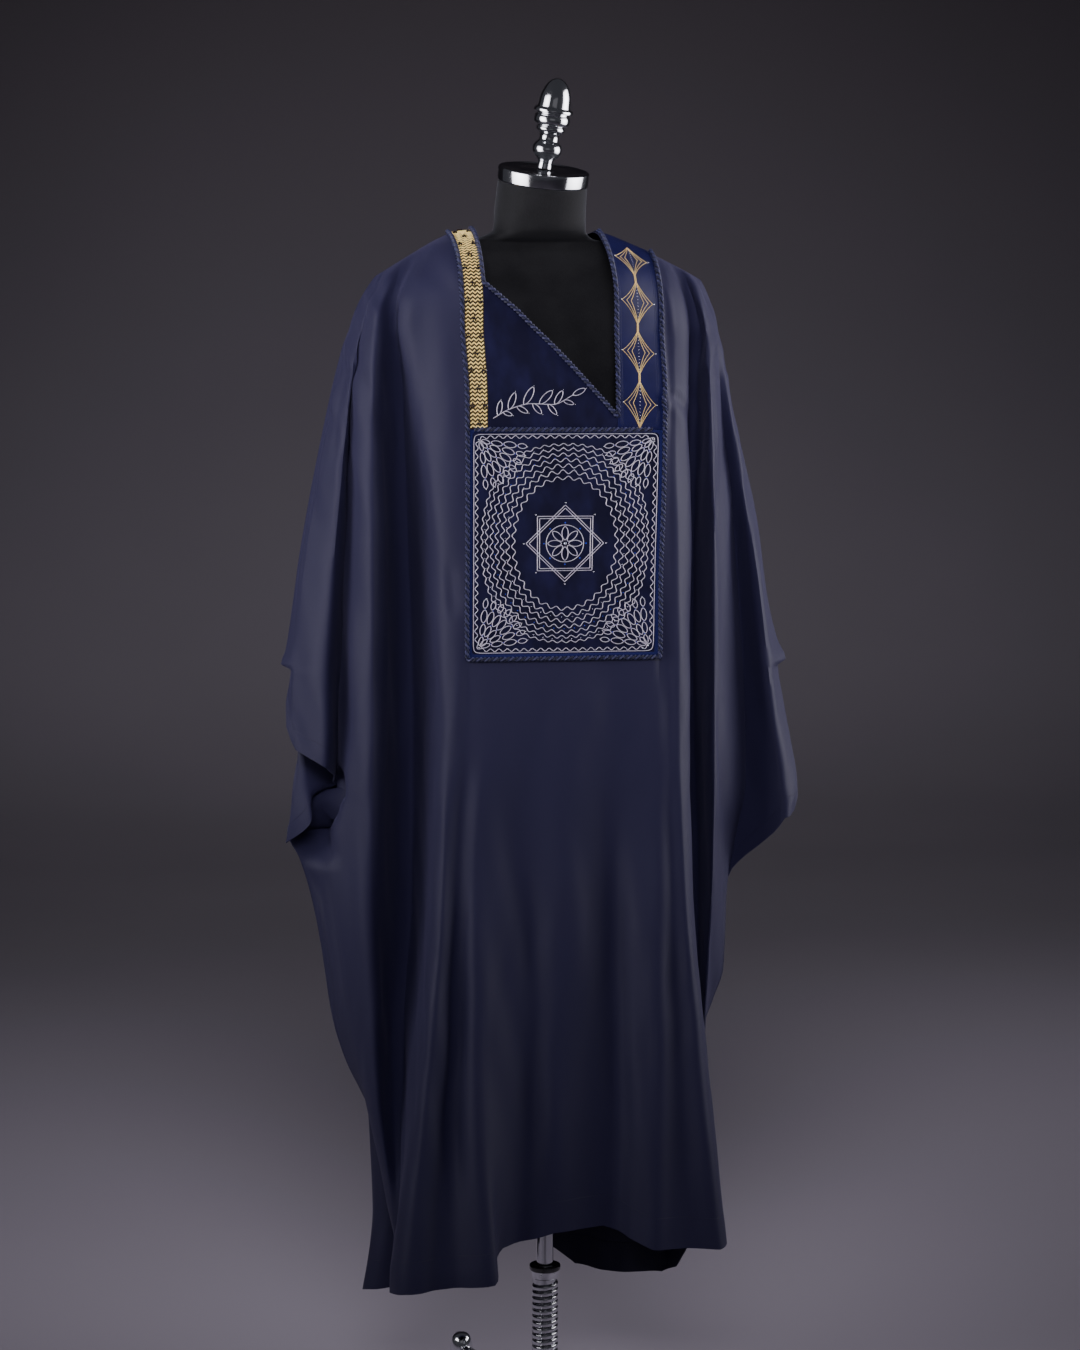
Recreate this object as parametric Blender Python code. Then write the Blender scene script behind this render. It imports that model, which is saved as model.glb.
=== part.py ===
"""Grand boubou robe (agbada) on a limbless dress form with a chrome stand.

Metres, +Z up.  The robe faces -Y, and +X is on the right of someone who looks at its front.  All
dimensions count from the axis of the stand's pole; the last step moves everything so that the
middle of the outline stands over the origin.  Every piece of cloth is a wall of one thickness.
The front and the back are each a grid: its columns are the fold lines, which run from the
shoulder to the hem, and its rows are the levels between.
"""
import math

import bmesh
import bpy
from mathutils import Matrix, Vector

for leftover in list(bpy.data.objects):
    bpy.data.objects.remove(leftover, do_unlink=True)

# ---------------------------------------------------------------- driving dimensions
CLOTH = 0.0016             # wall of the robe's suiting
SEAM_GAP = 0.0003          # between two pieces at a seam
TRIM = 0.0012              # velvet and braid laid on the front
CORD_WIDTH = 0.0052        # twisted cord along the edges of the trim
CORD_HEIGHT = 0.0036
SHOULDER_DROP = 0.10       # height over which the cloth rounds the shoulder
SEAM_CREASE = 0.25         # how much the cloth's curve softens as it passes a side seam
BACK_NECK_DIP = 0.17       # share of that height by which the back neckline lies lower
POLE_RADIUS = 0.0115
COLUMN_RADIUS = 0.0150
SPRING_RADIUS = 0.0183
SPRING_PITCH = 0.0086
COLLAR_RADIUS = 0.0215
COLLAR_TOP = 0.214
COLLAR_HEIGHT = 0.0082
COLLAR_SKIRT = 0.011       # narrower part of the collar, below its ring
HUB_RADIUS = 0.034
HUB_HEIGHT = 0.050
LEG_REACH = 0.237          # from the pole to the middle of a foot
LEG_RADIUS = 0.0115
LEG_HEIGHT = 0.0240        # a leg's axis above the floor
LEG_ANGLES = (112.0, 232.0, 352.0)
FOOT_RADIUS = 0.0175
PAD_RADIUS = 0.0155
PAD_HEIGHT = 0.006
FORM_BOTTOM = 0.800
NECK_CAP_RADIUS = 0.0605
NECK_CAP_HEIGHT = 0.018
NECK_TOP = 1.684
NECK_LEAN = math.radians(12.0)      # forward
NECK_SLOPE = math.radians(4.0)      # down to the right
FINIAL_LEAN = math.radians(8.5)     # to the right
ROUND_STEPS = 24

# ---------------------------------------------------------------- fold lines
# The plan position of each fold line at seven heights.
HEIGHTS = (1.49, 1.40, 1.19, 1.00, 0.78, 0.51, 0.25)

# name, x on the shoulder, x at each height, y at each height
FRONT_FOLDS = (
    ("left edge", -.2275, None, None),
    ("left groove", -.2235, (-.260, -.283, -.322, -.341, -.332, -.332, -.332),
     (-.016, -.022, -.026, -.030, -.030, -.030, -.030)),
    ("left outer ridge", -.2195, (-.252, -.269, -.293, -.304, -.303, -.303, -.303),
     (-.042, -.053, -.064, -.067, -.056, -.056, -.056)),
    ("left seam", -.2155, None, None),
    ("left ridge lip", -.2100, (-.246, -.257, -.267, -.271, -.284, -.254, -.204),
     (-.062, -.068, -.072, -.074, -.052, -.018, .030)),
    ("left ridge", -.2030, (-.235, -.238, -.240, -.240, -.243, -.236, -.204),
     (-.078, -.088, -.097, -.098, -.085, -.048, .006)),
    ("left valley side", -.1900, (-.217, -.210, -.203, -.202, -.204, -.211, -.200),
     (-.066, -.046, -.018, -.012, -.012, -.010, -.016)),
    ("left valley", -.1780, (-.206, -.193, -.183, -.178, -.179, -.194, -.203),
     (-.064, -.042, -.008, .000, .000, -.008, -.040)),
    ("panel left lip", -.1650, (-.203, -.190, -.167, -.162, -.171, -.195, -.228),
     (-.082, -.080, -.080, -.082, -.092, -.108, -.128)),
    ("panel left ridge", -.1500, (-.186, -.174, -.154, -.151, -.159, -.183, -.213),
     (-.098, -.106, -.118, -.121, -.128, -.144, -.164)),
    ("trim outer edge", -.1290, (-.123, -.118, -.119, -.121, -.134, -.148, -.165),
     (-.117, -.127, -.129, -.128, -.119, -.124, -.160)),
    ("trim inner edge", -.1010, (-.098, -.094, -.094, -.096, -.111, -.112, -.095),
     (-.118, -.129, -.131, -.131, -.128, -.141, -.173)),
    ("left of centre", -.0400, (-.055, -.045, -.045, -.045, -.056, -.045, -.080),
     (-.119, -.129, -.131, -.130, -.116, -.115, -.132)),
    ("centre", .0100, (.010, .012, .010, .008, .006, .000, -.005),
     (-.119, -.128, -.131, -.131, -.125, -.123, -.125)),
    ("neck point", .0650, (.0755, .0760, .0720, .0680, .0650, .0660, .0620),
     (-.112, -.126, -.129, -.126, -.112, -.104, -.106)),
    ("strap outer edge", .1340, (.1370, .1370, .1320, .1290, .1300, .1300, .1250),
     (-.092, -.117, -.128, -.129, -.128, -.130, -.140)),
    ("panel right hollow", .1430, (.1480, .1510, .1530, .1530, .1550, .1640, .1740),
     (-.085, -.104, -.116, -.118, -.116, -.119, -.130)),
    ("panel right ridge", .1520, (.1610, .1655, .1710, .1720, .1770, .1960, .2200),
     (-.082, -.103, -.114, -.118, -.124, -.128, -.140)),
    ("panel right lip", .1600, (.1700, .1715, .1790, .1790, .1810, .2060, .2310),
     (-.068, -.080, -.086, -.090, -.098, -.100, -.118)),
    ("right valley", .1690, (.1850, .1850, .1880, .1880, .1930, .2080, .2240),
     (-.050, -.030, -.006, -.002, -.006, -.020, -.012)),
    ("right valley side", .1780, (.2010, .2020, .2040, .2040, .2110, .2120, .2200),
     (-.049, -.030, -.008, -.006, -.012, -.010, -.002)),
    ("right ridge", .1870, (.2100, .2140, .2190, .2210, .2240, .2180, .2230),
     (-.066, -.082, -.100, -.100, -.082, -.022, .010)),
    ("right ridge lip", .1930, (.2170, .2190, .2260, .2300, .2300, .2200, .2240),
     (-.056, -.064, -.076, -.076, -.056, -.008, .016)),
    ("right seam", .1990, None, None),
    ("right outer ridge", .2050, (.2330, .2440, .2770, .2970, .2950, .2950, .2950),
     (-.018, -.030, -.044, -.052, -.052, -.052, -.052)),
    ("right edge", .2110, None, None),
)

BACK_FOLDS = (
    ("left edge", -.2275, None, None),
    ("left outer ridge", -.2200, (-.256, -.278, -.312, -.326, -.330, -.330, -.330),
     (.030, .038, .046, .056, .060, .060, .060)),
    ("left seam", -.2155, None, None),
    ("left ridge", -.2050, None, None),
    ("left ridge side", -.1950, (-.226, -.232, -.232, -.232, -.244, -.234, -.222),
     (.064, .070, .078, .082, .100, .104, .122)),
    ("left valley", -.1830, (-.206, -.204, -.200, -.196, -.204, -.214, -.205),
     (.060, .044, .022, .018, .034, .070, .112)),
    ("back left lip", -.1680, (-.190, -.184, -.172, -.170, -.180, -.200, -.194),
     (.078, .084, .086, .088, .098, .112, .130)),
    ("back left crest", -.1540, (-.172, -.168, -.156, -.154, -.162, -.178, -.170),
     (.092, .104, .114, .116, .122, .136, .148)),
    ("back left hollow", -.1200, (-.122, -.120, -.116, -.114, -.120, -.130, -.128),
     (.106, .118, .120, .116, .110, .112, .124)),
    ("back left pleat", -.1010, (-.072, -.072, -.072, -.072, -.076, -.082, -.080),
     (.112, .124, .128, .128, .128, .134, .146)),
    ("back centre", -.0100, (-.012, -.012, -.012, -.014, -.016, -.016, -.010),
     (.114, .125, .124, .118, .112, .114, .128)),
    ("back right pleat", .0650, (.056, .056, .056, .058, .060, .064, .066),
     (.110, .123, .127, .128, .128, .136, .148)),
    ("back right hollow", .1240, (.116, .114, .112, .112, .114, .122, .126),
     (.096, .112, .119, .115, .109, .110, .122)),
    ("back right ridge", .1500, (.158, .160, .160, .160, .164, .178, .190),
     (.082, .098, .112, .116, .120, .130, .138)),
    ("back right lip", .1620, (.172, .174, .176, .176, .182, .194, .206),
     (.070, .078, .084, .088, .096, .100, .112)),
    ("right valley", .1760, (.190, .192, .198, .200, .204, .206, .214),
     (.052, .038, .022, .018, .028, .050, .080)),
    ("right ridge", .1900, (.218, .222, .232, .238, .240, .222, .226),
     (.052, .062, .074, .078, .074, .054, .060)),
    ("right seam", .1990, None, None),
    ("right outer ridge", .2050, (.2330, .2450, .2830, .3070, .3050, .3050, .3050),
     (.018, .026, .038, .048, .054, .054, .054)),
    ("right edge", .2110, None, None),
)

# Lines with a path of their own.  The edges run down the fold of the shoulder and then down the
# two sides of the sleeve's mouth; front and back share the side seams, from which the two layers
# part by their own depth above the mouth.
PATHS = {     # z, x, y
    "front left edge": ((1.49, -.265, .000), (1.40, -.288, .000), (1.19, -.330, .000),
                        (1.134, -.338, .000), (1.066, -.349, .000), (1.049, -.355, .000),
                        (1.040, -.342, -.002), (1.026, -.344, -.006), (.992, -.350, -.012),
                        (.966, -.350, -.016), (.880, -.350, -.020)),
    "back left edge": ((1.49, -.265, .000), (1.40, -.288, .000), (1.19, -.330, .000),
                       (1.134, -.338, .000), (1.066, -.349, .000), (1.049, -.354, .000),
                       (1.040, -.340, .004), (.990, -.340, .018), (.927, -.333, .030),
                       (.887, -.340, .034), (.860, -.344, .038), (.829, -.351, .040),
                       (.813, -.355, .042)),
    "front right edge": ((1.49, .237, .000), (1.40, .2525, .000), (1.235, .290, .000),
                         (1.126, .306, .000), (1.071, .320, .000), (1.046, .331, .000),
                         (1.037, .320, -.002), (.990, .326, -.010), (.936, .335, -.018),
                         (.881, .3435, -.022), (.861, .344, -.024), (.838, .339, -.024)),
    "back right edge": ((1.49, .237, .000), (1.40, .2525, .000), (1.235, .290, .000),
                        (1.126, .306, .000), (1.071, .320, .000), (1.046, .330, .000),
                        (1.037, .319, .004), (.990, .324, .010), (.936, .333, .018),
                        (.881, .341, .026), (.838, .336, .030)),
    "back left ridge": ((1.49, -.243, .062), (1.40, -.250, .074), (1.19, -.254, .086),
                        (1.00, -.256, .088), (.80, -.272, .090), (.60, -.264, .086),
                        (.50, -.240, .086), (.396, -.222, .090), (.322, -.224, .090),
                        (.273, -.225, .092), (.237, -.229, .095), (.156, -.2415, .104)),
    "left seam": ((1.49, -.250, -.044), (1.40, -.263, -.030), (1.19, -.272, -.016),
                  (1.00, -.279, -.008), (.885, -.284, .000), (.856, -.318, .010),
                  (.824, -.350, .020), (.790, -.334, .022), (.730, -.316, .024),
                  (.670, -.304, .026), (.560, -.287, .028), (.500, -.269, .032),
                  (.460, -.250, .032), (.410, -.227, .036), (.354, -.205, .042),
                  (.326, -.202, .048), (.250, -.200, .056), (.160, -.200, .060)),
    "right seam": ((1.49, .226, -.034), (1.40, .234, -.028), (1.19, .258, -.016),
                   (1.00, .272, -.010), (.880, .276, -.004), (.800, .264, .002),
                   (.745, .2550, .008), (.714, .2530, .010), (.660, .2520, .012),
                   (.615, .2500, .014), (.575, .2370, .016), (.530, .2240, .018),
                   (.400, .2240, .020), (.250, .2260, .022), (.160, .2260, .022)),
}
BACK_SEAM_DEPTH = {     # z, how far behind the front's line the back's runs
    "left seam": ((1.49, .078), (1.40, .066), (1.19, .052), (1.00, .040), (.92, .026), (.885, 0.)),
    "right seam": ((1.49, .066), (1.40, .062), (1.19, .056), (1.00, .050), (.88, .040),
                   (.80, .028), (.745, 0.)),
}

# x and z along the shoulder line
SHOULDER_LINE = ((-.2275, 1.5600), (-.1950, 1.5800), (-.1500, 1.6070), (-.1290, 1.6170),
                 (-.1010, 1.6205), (.0650, 1.6205), (.0850, 1.6150), (.1340, 1.5950),
                 (.1720, 1.5775), (.2110, 1.5570))

# Levels of the rows that carry something: height at each named column, straight lines between.
FRONT_LEVELS = {
    "neck": (("left edge", 1.500), ("left ridge", 1.500), ("panel left ridge", 1.530),
             ("trim inner edge", 1.551), ("left of centre", 1.516), ("centre", 1.449),
             ("neck point", 1.378), ("strap outer edge", 1.415), ("right edge", 1.430)),
    "panel top": (("left edge", 1.366), ("right edge", 1.358)),
    "panel foot": (("left edge", 1.049), ("left ridge", 1.066), ("right valley", 1.066),
                   ("right edge", 1.046)),
    "left mouth": (("left edge", .966), ("left groove", .936), ("left outer ridge", .915),
                   ("left seam", .885), ("panel left lip", .885), ("right edge", .885)),
    "right mouth": (("left edge", .745), ("panel right lip", .745), ("right seam", .745),
                    ("right outer ridge", .797), ("right edge", .840)),
    "hem": (("left edge", .172), ("left seam", .172), ("left ridge", .192),
            ("left valley", .206), ("panel left lip", .222), ("panel left ridge", .229),
            ("trim outer edge", .232), ("trim inner edge", .240), ("left of centre", .276),
            ("centre", .292), ("neck point", .294), ("strap outer edge", .268),
            ("panel right ridge", .264), ("panel right lip", .267), ("right valley", .264),
            ("right seam", .262), ("right edge", .262)),
}
BACK_LEVELS = {
    "yoke": (("left edge", 1.430), ("back left crest", 1.460), ("back centre", 1.500),
             ("back right ridge", 1.460), ("right edge", 1.430)),
    "waist": (("left edge", 1.049), ("left ridge", 1.100), ("right ridge", 1.100),
              ("right edge", 1.046)),
    "left mouth": (("left edge", .814), ("left outer ridge", .845), ("left seam", .885),
                   ("right edge", .885)),
    "right mouth": (("left edge", .745), ("right seam", .745), ("right outer ridge", .800),
                    ("right edge", .838)),
    "hem": (("left edge", .172), ("left seam", .172), ("left ridge", .157),
            ("back left crest", .162), ("back left hollow", .178), ("back left pleat", .206),
            ("back centre", .232), ("back right pleat", .168), ("back right ridge", .154),
            ("back right lip", .168), ("right valley", .205), ("right ridge", .258),
            ("right seam", .262), ("right edge", .262)),
}
# level name, rows between it and the one above, how the rows crowd towards the one above
FRONT_ROWS = (("neck", 6, 1.7), ("panel top", 4, 1.0), ("panel foot", 7, 1.0),
              ("left mouth", 4, 1.0), ("right mouth", 4, 1.0), ("hem", 8, 1.0))
BACK_ROWS = (("yoke", 6, 1.8), ("waist", 5, 1.0), ("left mouth", 4, 1.0),
             ("right mouth", 4, 1.0), ("hem", 8, 1.0))
DOUBLED = {                  # fold lines with an extra column to their right
    "front": ("left seam", "left ridge", "left valley", "panel left lip", "left of centre",
              "strap outer edge", "panel right ridge", "right valley", "right seam",
              "panel left ridge", "neck point", "right valley side", "left outer ridge",
              "right outer ridge"),
    "back": ("left seam", "left ridge side", "left valley", "back left lip", "back left crest",
             "back left hollow", "back right pleat", "back right hollow", "back right lip",
             "right valley", "right ridge", "back left pleat", "back centre"),
}


# ---------------------------------------------------------------- small tools
def steps_through(knots, value):
    """Read a table of (key, value) pairs at value, straight between its keys."""
    pairs = sorted(knots)
    if value <= pairs[0][0]:
        return pairs[0][1]
    for (low, first), (high, second) in zip(pairs, pairs[1:]):
        if value <= high:
            return first + (second - first) * (value - low) / (high - low)
    return pairs[-1][1]


def smooth_through(keys, values, where):
    """Read values given at rising keys along a smooth curve that doesn't overshoot."""
    if where <= keys[0]:
        return values[0]
    if where >= keys[-1]:
        return values[-1]
    i = max(k for k in range(len(keys) - 1) if keys[k] <= where)

    def chord(k):
        return (values[k + 1] - values[k]) / (keys[k + 1] - keys[k])

    def slope(k):
        if k == 0 or k == len(keys) - 1:
            return chord(min(k, len(keys) - 2))
        before, after = chord(k - 1), chord(k)
        if before * after <= 0.0:
            return 0.0
        return 2.0 * before * after / (before + after)

    span = keys[i + 1] - keys[i]
    t = (where - keys[i]) / span
    return (values[i] * (1 + 2 * t) * (1 - t) ** 2 + slope(i) * span * t * (1 - t) ** 2
            + values[i + 1] * t * t * (3 - 2 * t) - slope(i + 1) * span * t * t * (1 - t))


def shoulder_height(x):
    """Height of the shoulder line at x."""
    return steps_through(SHOULDER_LINE, x)


class Layer:
    """The front or the back: its fold lines, its levels and the surface that they span."""

    def __init__(self, side, folds, levels, rows):
        self.side = side
        self.folds = folds
        self.names = [fold[0] for fold in folds]
        self.levels = levels
        self.columns = []                      # positions along the folds, in whole or half steps
        for i, name in enumerate(self.names[:-1]):
            self.columns.append(float(i))
            if name in DOUBLED[side]:
                self.columns.append(i + 0.5)
        self.columns.append(float(len(self.names) - 1))
        self.rows = [("shoulder", "shoulder", 0.0)]
        above = "shoulder"
        for name, count, crowd in rows:
            for k in range(1, count + 1):
                self.rows.append((above, name, (k / count) ** crowd))
            above = name

    def place(self, name):
        """The column number of a fold line."""
        return float(self.names.index(name))

    def row_of(self, level):
        """The row number of a level."""
        return max(i for i, row in enumerate(self.rows) if row[1] == level and row[2] == 1.0)

    def column_of(self, name):
        """Where a fold line stands among the grid's columns."""
        return self.columns.index(self.place(name))

    def level(self, name, u):
        """Height of a named level at column u."""
        if name == "shoulder":
            return shoulder_height(self.shoulder_x(u))
        return steps_through([(self.place(n), z) for n, z in self.levels[name]], u)

    def shoulder_x(self, u):
        return steps_through([(float(i), fold[1]) for i, fold in enumerate(self.folds)], u)

    def fold_point(self, i, z):
        """Plan position of fold line i at height z, before the shoulder rounds it."""
        name, _, xs, ys = self.folds[i]
        if xs is None:
            seam = sorted(PATHS[name if name.endswith("seam") else self.side + " " + name])
            keys = [row[0] for row in seam]
            x = smooth_through(keys, [row[1] for row in seam], z)
            y = smooth_through(keys, [row[2] for row in seam], z)
            if self.side == "back" and name in BACK_SEAM_DEPTH:
                y += steps_through(BACK_SEAM_DEPTH[name], z)
        else:
            keys = HEIGHTS[::-1]
            x = smooth_through(keys, xs[::-1], z)
            y = smooth_through(keys, ys[::-1], z)
        return Vector((x, y))

    def plan(self, u, z):
        """Plan position at column u and height z, rounded over the shoulder."""
        place = self.between_folds(u, z)
        shoulder = self.shoulder_x(u)
        drop = max(shoulder_height(shoulder) - z, 0.0) / SHOULDER_DROP
        if drop >= 1.0:
            return place
        x = shoulder + (place.x - shoulder) * drop * (2.0 - drop)
        return Vector((x, place.y * math.sqrt(drop * (2.0 - drop))))

    def between_folds(self, u, z):
        """Plan position on a smooth curve through the fold lines."""
        i = min(int(u), len(self.folds) - 2)
        t = u - i
        here, after = self.fold_point(i, z), self.fold_point(i + 1, z)
        if t == 0.0:
            return here
        if t == 1.0:
            return after
        before = self.fold_point(i - 1, z) if i else here * 2 - after
        beyond = self.fold_point(i + 2, z) if i + 2 < len(self.folds) else after * 2 - here
        span = (after - here).length
        lead = (after - before) * (span / (span + (here - before).length))
        trail = (beyond - here) * (span / (span + (beyond - after).length))
        if self.names[i].endswith("seam"):
            lead *= SEAM_CREASE
        if self.names[i + 1].endswith("seam"):
            trail *= SEAM_CREASE
        return (here * (1 + 2 * t) * (1 - t) ** 2 + lead * t * (1 - t) ** 2
                + after * t * t * (3 - 2 * t) - trail * t * t * (1 - t))

    def point(self, row, u):
        """The surface point in a row at column u."""
        above, below, share = self.rows[row]
        top, foot = self.level(above, u), self.level(below, u)
        z = top + (foot - top) * share
        if self.side == "back" and row < self.row_of("yoke"):
            z -= self.neck_dip(u) * (1.0 - row / self.row_of("yoke"))
        x, y = self.plan(u, z)
        return Vector((x, y, z))

    def neck_dip(self, u):
        """How far the back neckline lies under the shoulder line at column u."""
        left, right = self.place("back left pleat"), self.place("back right pleat")
        if not left < u < right:
            return 0.0
        return BACK_NECK_DIP * SHOULDER_DROP * math.sin(math.pi * (u - left) / (right - left)) ** 0.6

    def spans(self):
        """For each row, the columns of the quads under it, as ranges of grid columns."""
        left, right = self.column_of("left seam"), self.column_of("right seam")
        last = len(self.columns) - 1
        cells = []
        for row in range(len(self.rows) - 1):
            start = 0 if row < self.row_of("left mouth") else left
            end = last if row < self.row_of("right mouth") else right
            gap = range(0)
            if self.side == "front" and row < self.row_of("neck"):
                gap = range(self.column_of("trim inner edge"), self.column_of("neck point"))
            cells.append([c for c in range(start, end) if c not in gap])
        return cells


FRONT = Layer("front", FRONT_FOLDS, FRONT_LEVELS, FRONT_ROWS)
BACK = Layer("back", BACK_FOLDS, BACK_LEVELS, BACK_ROWS)


def material(name, colour, roughness, metallic=0.0):
    """A plain Principled material."""
    made = bpy.data.materials.new(name)
    made.use_nodes = True
    shader = made.node_tree.nodes["Principled BSDF"]
    shader.inputs["Base Color"].default_value = (*colour, 1.0)
    shader.inputs["Roughness"].default_value = roughness
    shader.inputs["Metallic"].default_value = metallic
    return made


def solid(name, vertices, faces, finish, smooth=True):
    """One closed body with its faces pointing out."""
    mesh = bpy.data.meshes.new(name)
    mesh.from_pydata([tuple(v) for v in vertices], [], faces)
    work = bmesh.new()
    work.from_mesh(mesh)
    bmesh.ops.recalc_face_normals(work, faces=work.faces)
    work.to_mesh(mesh)
    work.free()
    mesh.materials.append(finish)
    if smooth:
        mesh.shade_smooth()
        mesh.set_sharp_from_angle(angle=math.radians(50.0))
    made = bpy.data.objects.new(name, mesh)
    bpy.context.collection.objects.link(made)
    return made


def surface_normals(points, cells):
    """Outward normal of each grid point that a cell uses."""
    sums = {}
    for row, columns in enumerate(cells):
        for c in columns:
            corners = [(row, c), (row, c + 1), (row + 1, c + 1), (row + 1, c)]
            a, b, d, e = (points[key] for key in corners)
            normal = (d - a).cross(b - e)
            if normal.length > 0.0:
                normal.normalize()
            for key in corners:
                sums[key] = sums.get(key, Vector()) + normal
    return {key: total.normalized() for key, total in sums.items()}


def wall(name, points, normals, cells, outer, inner, finish):
    """A closed wall over the given cells, from inner to outer along the normals."""
    keys = sorted({key for row, columns in enumerate(cells) for c in columns
                   for key in ((row, c), (row, c + 1), (row + 1, c + 1), (row + 1, c))})
    number = {key: i for i, key in enumerate(keys)}
    count = len(keys)
    vertices = [points[k] + normals[k] * outer for k in keys]
    vertices += [points[k] + normals[k] * inner for k in keys]
    faces, edges = [], {}
    for row, columns in enumerate(cells):
        for c in columns:
            ring = [number[(row, c)], number[(row, c + 1)],
                    number[(row + 1, c + 1)], number[(row + 1, c)]]
            faces.append(ring[:3])
            faces.append([ring[0], ring[2], ring[3]])
            faces.append([v + count for v in reversed(ring[:3])])
            faces.append([v + count for v in (ring[3], ring[2], ring[0])])
            for a, b in zip(ring, ring[1:] + ring[:1]):
                if (b, a) in edges:
                    del edges[(b, a)]
                else:
                    edges[(a, b)] = True
    for a, b in edges:
        faces.append([b, a, a + count, b + count])
    return solid(name, vertices, faces, finish)


# ---------------------------------------------------------------- the robe's two panels
def seam_push(name, z):
    """How far the front's middle surface draws back from a seam at height z; the back's does the
    opposite.  It is half a gap where the walls meet end to end, and half a wall more where they
    lie against each other."""
    ways = []
    for layer in (FRONT, BACK):
        u = layer.place(name)
        inward = 0.5 if name.startswith("left") else -0.5
        ways.append((layer.plan(u + inward, z) - layer.plan(u, z)).normalized())
    half_angle = ways[0].angle(ways[1]) / 2
    return (ways[0] - ways[1]).normalized() * (SEAM_GAP / 2 + CLOTH / 2 * math.cos(half_angle))


def layer_points(layer):
    """The middle surface of a layer, drawn back from its seams."""
    points = {(r, c): layer.point(r, u)
              for r in range(len(layer.rows)) for c, u in enumerate(layer.columns)}
    sign = 1.0 if layer.side == "front" else -1.0
    pushes = []
    for side, edge in (("left", 0), ("right", len(layer.columns) - 1)):
        mouth = layer.row_of(side + " mouth")
        seam = layer.column_of(side + " seam")
        for r in range(1, mouth + 1):
            pushes.append(((r, edge), seam_push(side + " edge", points[(r, edge)].z)))
        pushes.append(((mouth, seam), Vector((0.0, -SEAM_GAP / 2 - CLOTH / 2))))
        for r in range(mouth + 1, len(layer.rows)):
            pushes.append(((r, seam), seam_push(side + " seam", points[(r, seam)].z)))
    for c in range(len(layer.columns)):
        way = (points[(1, c)] - points[(0, c)]).normalized()
        pushes.append(((0, c), Vector((0.0, -SEAM_GAP / 2 + CLOTH / 2 * way.z))))
    for key, push in pushes:
        points[key] += sign * push.to_3d()
    return points


navy = material("navy suiting", (0.022, 0.025, 0.072), 0.55)
velvet = material("dark velvet", (0.008, 0.010, 0.034), 0.8)
royal = material("royal blue braid", (0.018, 0.034, 0.16), 0.5)
gold = material("gold braid", (0.62, 0.44, 0.15), 0.4, 0.5)
cord = material("twisted navy cord", (0.02, 0.026, 0.10), 0.5)
jersey = material("black jersey", (0.012, 0.012, 0.014), 0.75)
chrome = material("chrome", (0.82, 0.83, 0.86), 0.12, 1.0)
rubber = material("black rubber", (0.02, 0.02, 0.02), 0.8)

front_points = layer_points(FRONT)
back_points = layer_points(BACK)
front_normals = surface_normals(front_points, FRONT.spans())
back_normals = {key: -n for key, n in surface_normals(back_points, BACK.spans()).items()}

wall("robe_front", front_points, front_normals, FRONT.spans(), CLOTH / 2, -CLOTH / 2, navy)
wall("robe_back", back_points, back_normals, BACK.spans(), CLOTH / 2, -CLOTH / 2, navy)


# ---------------------------------------------------------------- trim laid on the front
def front_cells(first, last, top, foot):
    """Cells of the front between two fold lines and two levels."""
    start, end = FRONT.column_of(first), FRONT.column_of(last)
    upper, lower = (FRONT.row_of(level) if level else 0 for level in (top, foot))
    cells = []
    for row in range(len(FRONT.rows) - 1):
        cells.append(list(range(start, end)) if upper <= row < lower else [])
    return cells


TRIM_FOOT = CLOTH / 2 + SEAM_GAP
TRIM_TOP = TRIM_FOOT + TRIM


def trim(name, first, last, top, foot, finish):
    """A piece of trim of even thickness on the front's cells, drawn in by half a gap all round."""
    cells = front_cells(first, last, top, foot)
    points = dict(front_points)
    upper = FRONT.row_of(top) if top else 0
    lower = FRONT.row_of(foot)
    start, end = FRONT.column_of(first), FRONT.column_of(last)
    draw_in = SEAM_GAP * 0.7
    for r in range(upper, lower + 1):
        for c, inward in ((start, start + 1), (end, end - 1)):
            step = front_points[(r, inward)] - front_points[(r, c)]
            points[(r, c)] = points[(r, c)] + step.normalized() * draw_in
    for c in range(start, end + 1):
        for r, inward in ((upper, upper + 1), (lower, lower - 1)):
            step = front_points[(inward, c)] - front_points[(r, c)]
            points[(r, c)] = points[(r, c)] + step.normalized() * draw_in
    return wall(name, points, front_normals, cells, TRIM_TOP, TRIM_FOOT, finish)


trim("square_panel", "trim outer edge", "strap outer edge", "panel top", "panel foot", velvet)
trim("neck_plaque", "trim inner edge", "neck point", "neck", "panel top", velvet)
trim("gold_strip", "trim outer edge", "trim inner edge", None, "panel top", gold)
trim("shoulder_strap", "neck point", "strap outer edge", None, "panel top", royal)


def laid_cord(name, route, finish):
    """A cord on top of the trim's edges, along grid points (row, column)."""
    path = [front_points[key] + front_normals[key] * (TRIM_TOP + 2 * SEAM_GAP) for key in route]
    ups = [front_normals[key] for key in route]
    vertices, faces = [], []
    for i, (centre, up) in enumerate(zip(path, ups)):
        ahead = path[min(i + 1, len(path) - 1)] - centre
        behind = centre - path[max(i - 1, 0)]
        along = (ahead.normalized() + behind.normalized()).normalized()
        side = along.cross(up).normalized()
        half = CORD_WIDTH / 2
        for across, lift in ((-half, 0.0), (-half * 0.6, CORD_HEIGHT), (half * 0.6, CORD_HEIGHT),
                             (half, 0.0)):
            vertices.append(centre + side * across + up * lift)
    count = 4
    for i in range(len(path) - 1):
        for k in range(count):
            a, b = i * count + k, i * count + (k + 1) % count
            faces.append([a, b, b + count, a + count])
    faces.append(list(range(count)))
    faces.append([len(vertices) - 1 - k for k in range(count)])
    return solid(name, vertices, faces, finish, smooth=False)


def down_column(fold, top, foot):
    column = FRONT.column_of(fold)
    first = FRONT.row_of(top) if top else 1
    return [(r, column) for r in range(first, FRONT.row_of(foot) + 1)]


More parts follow.
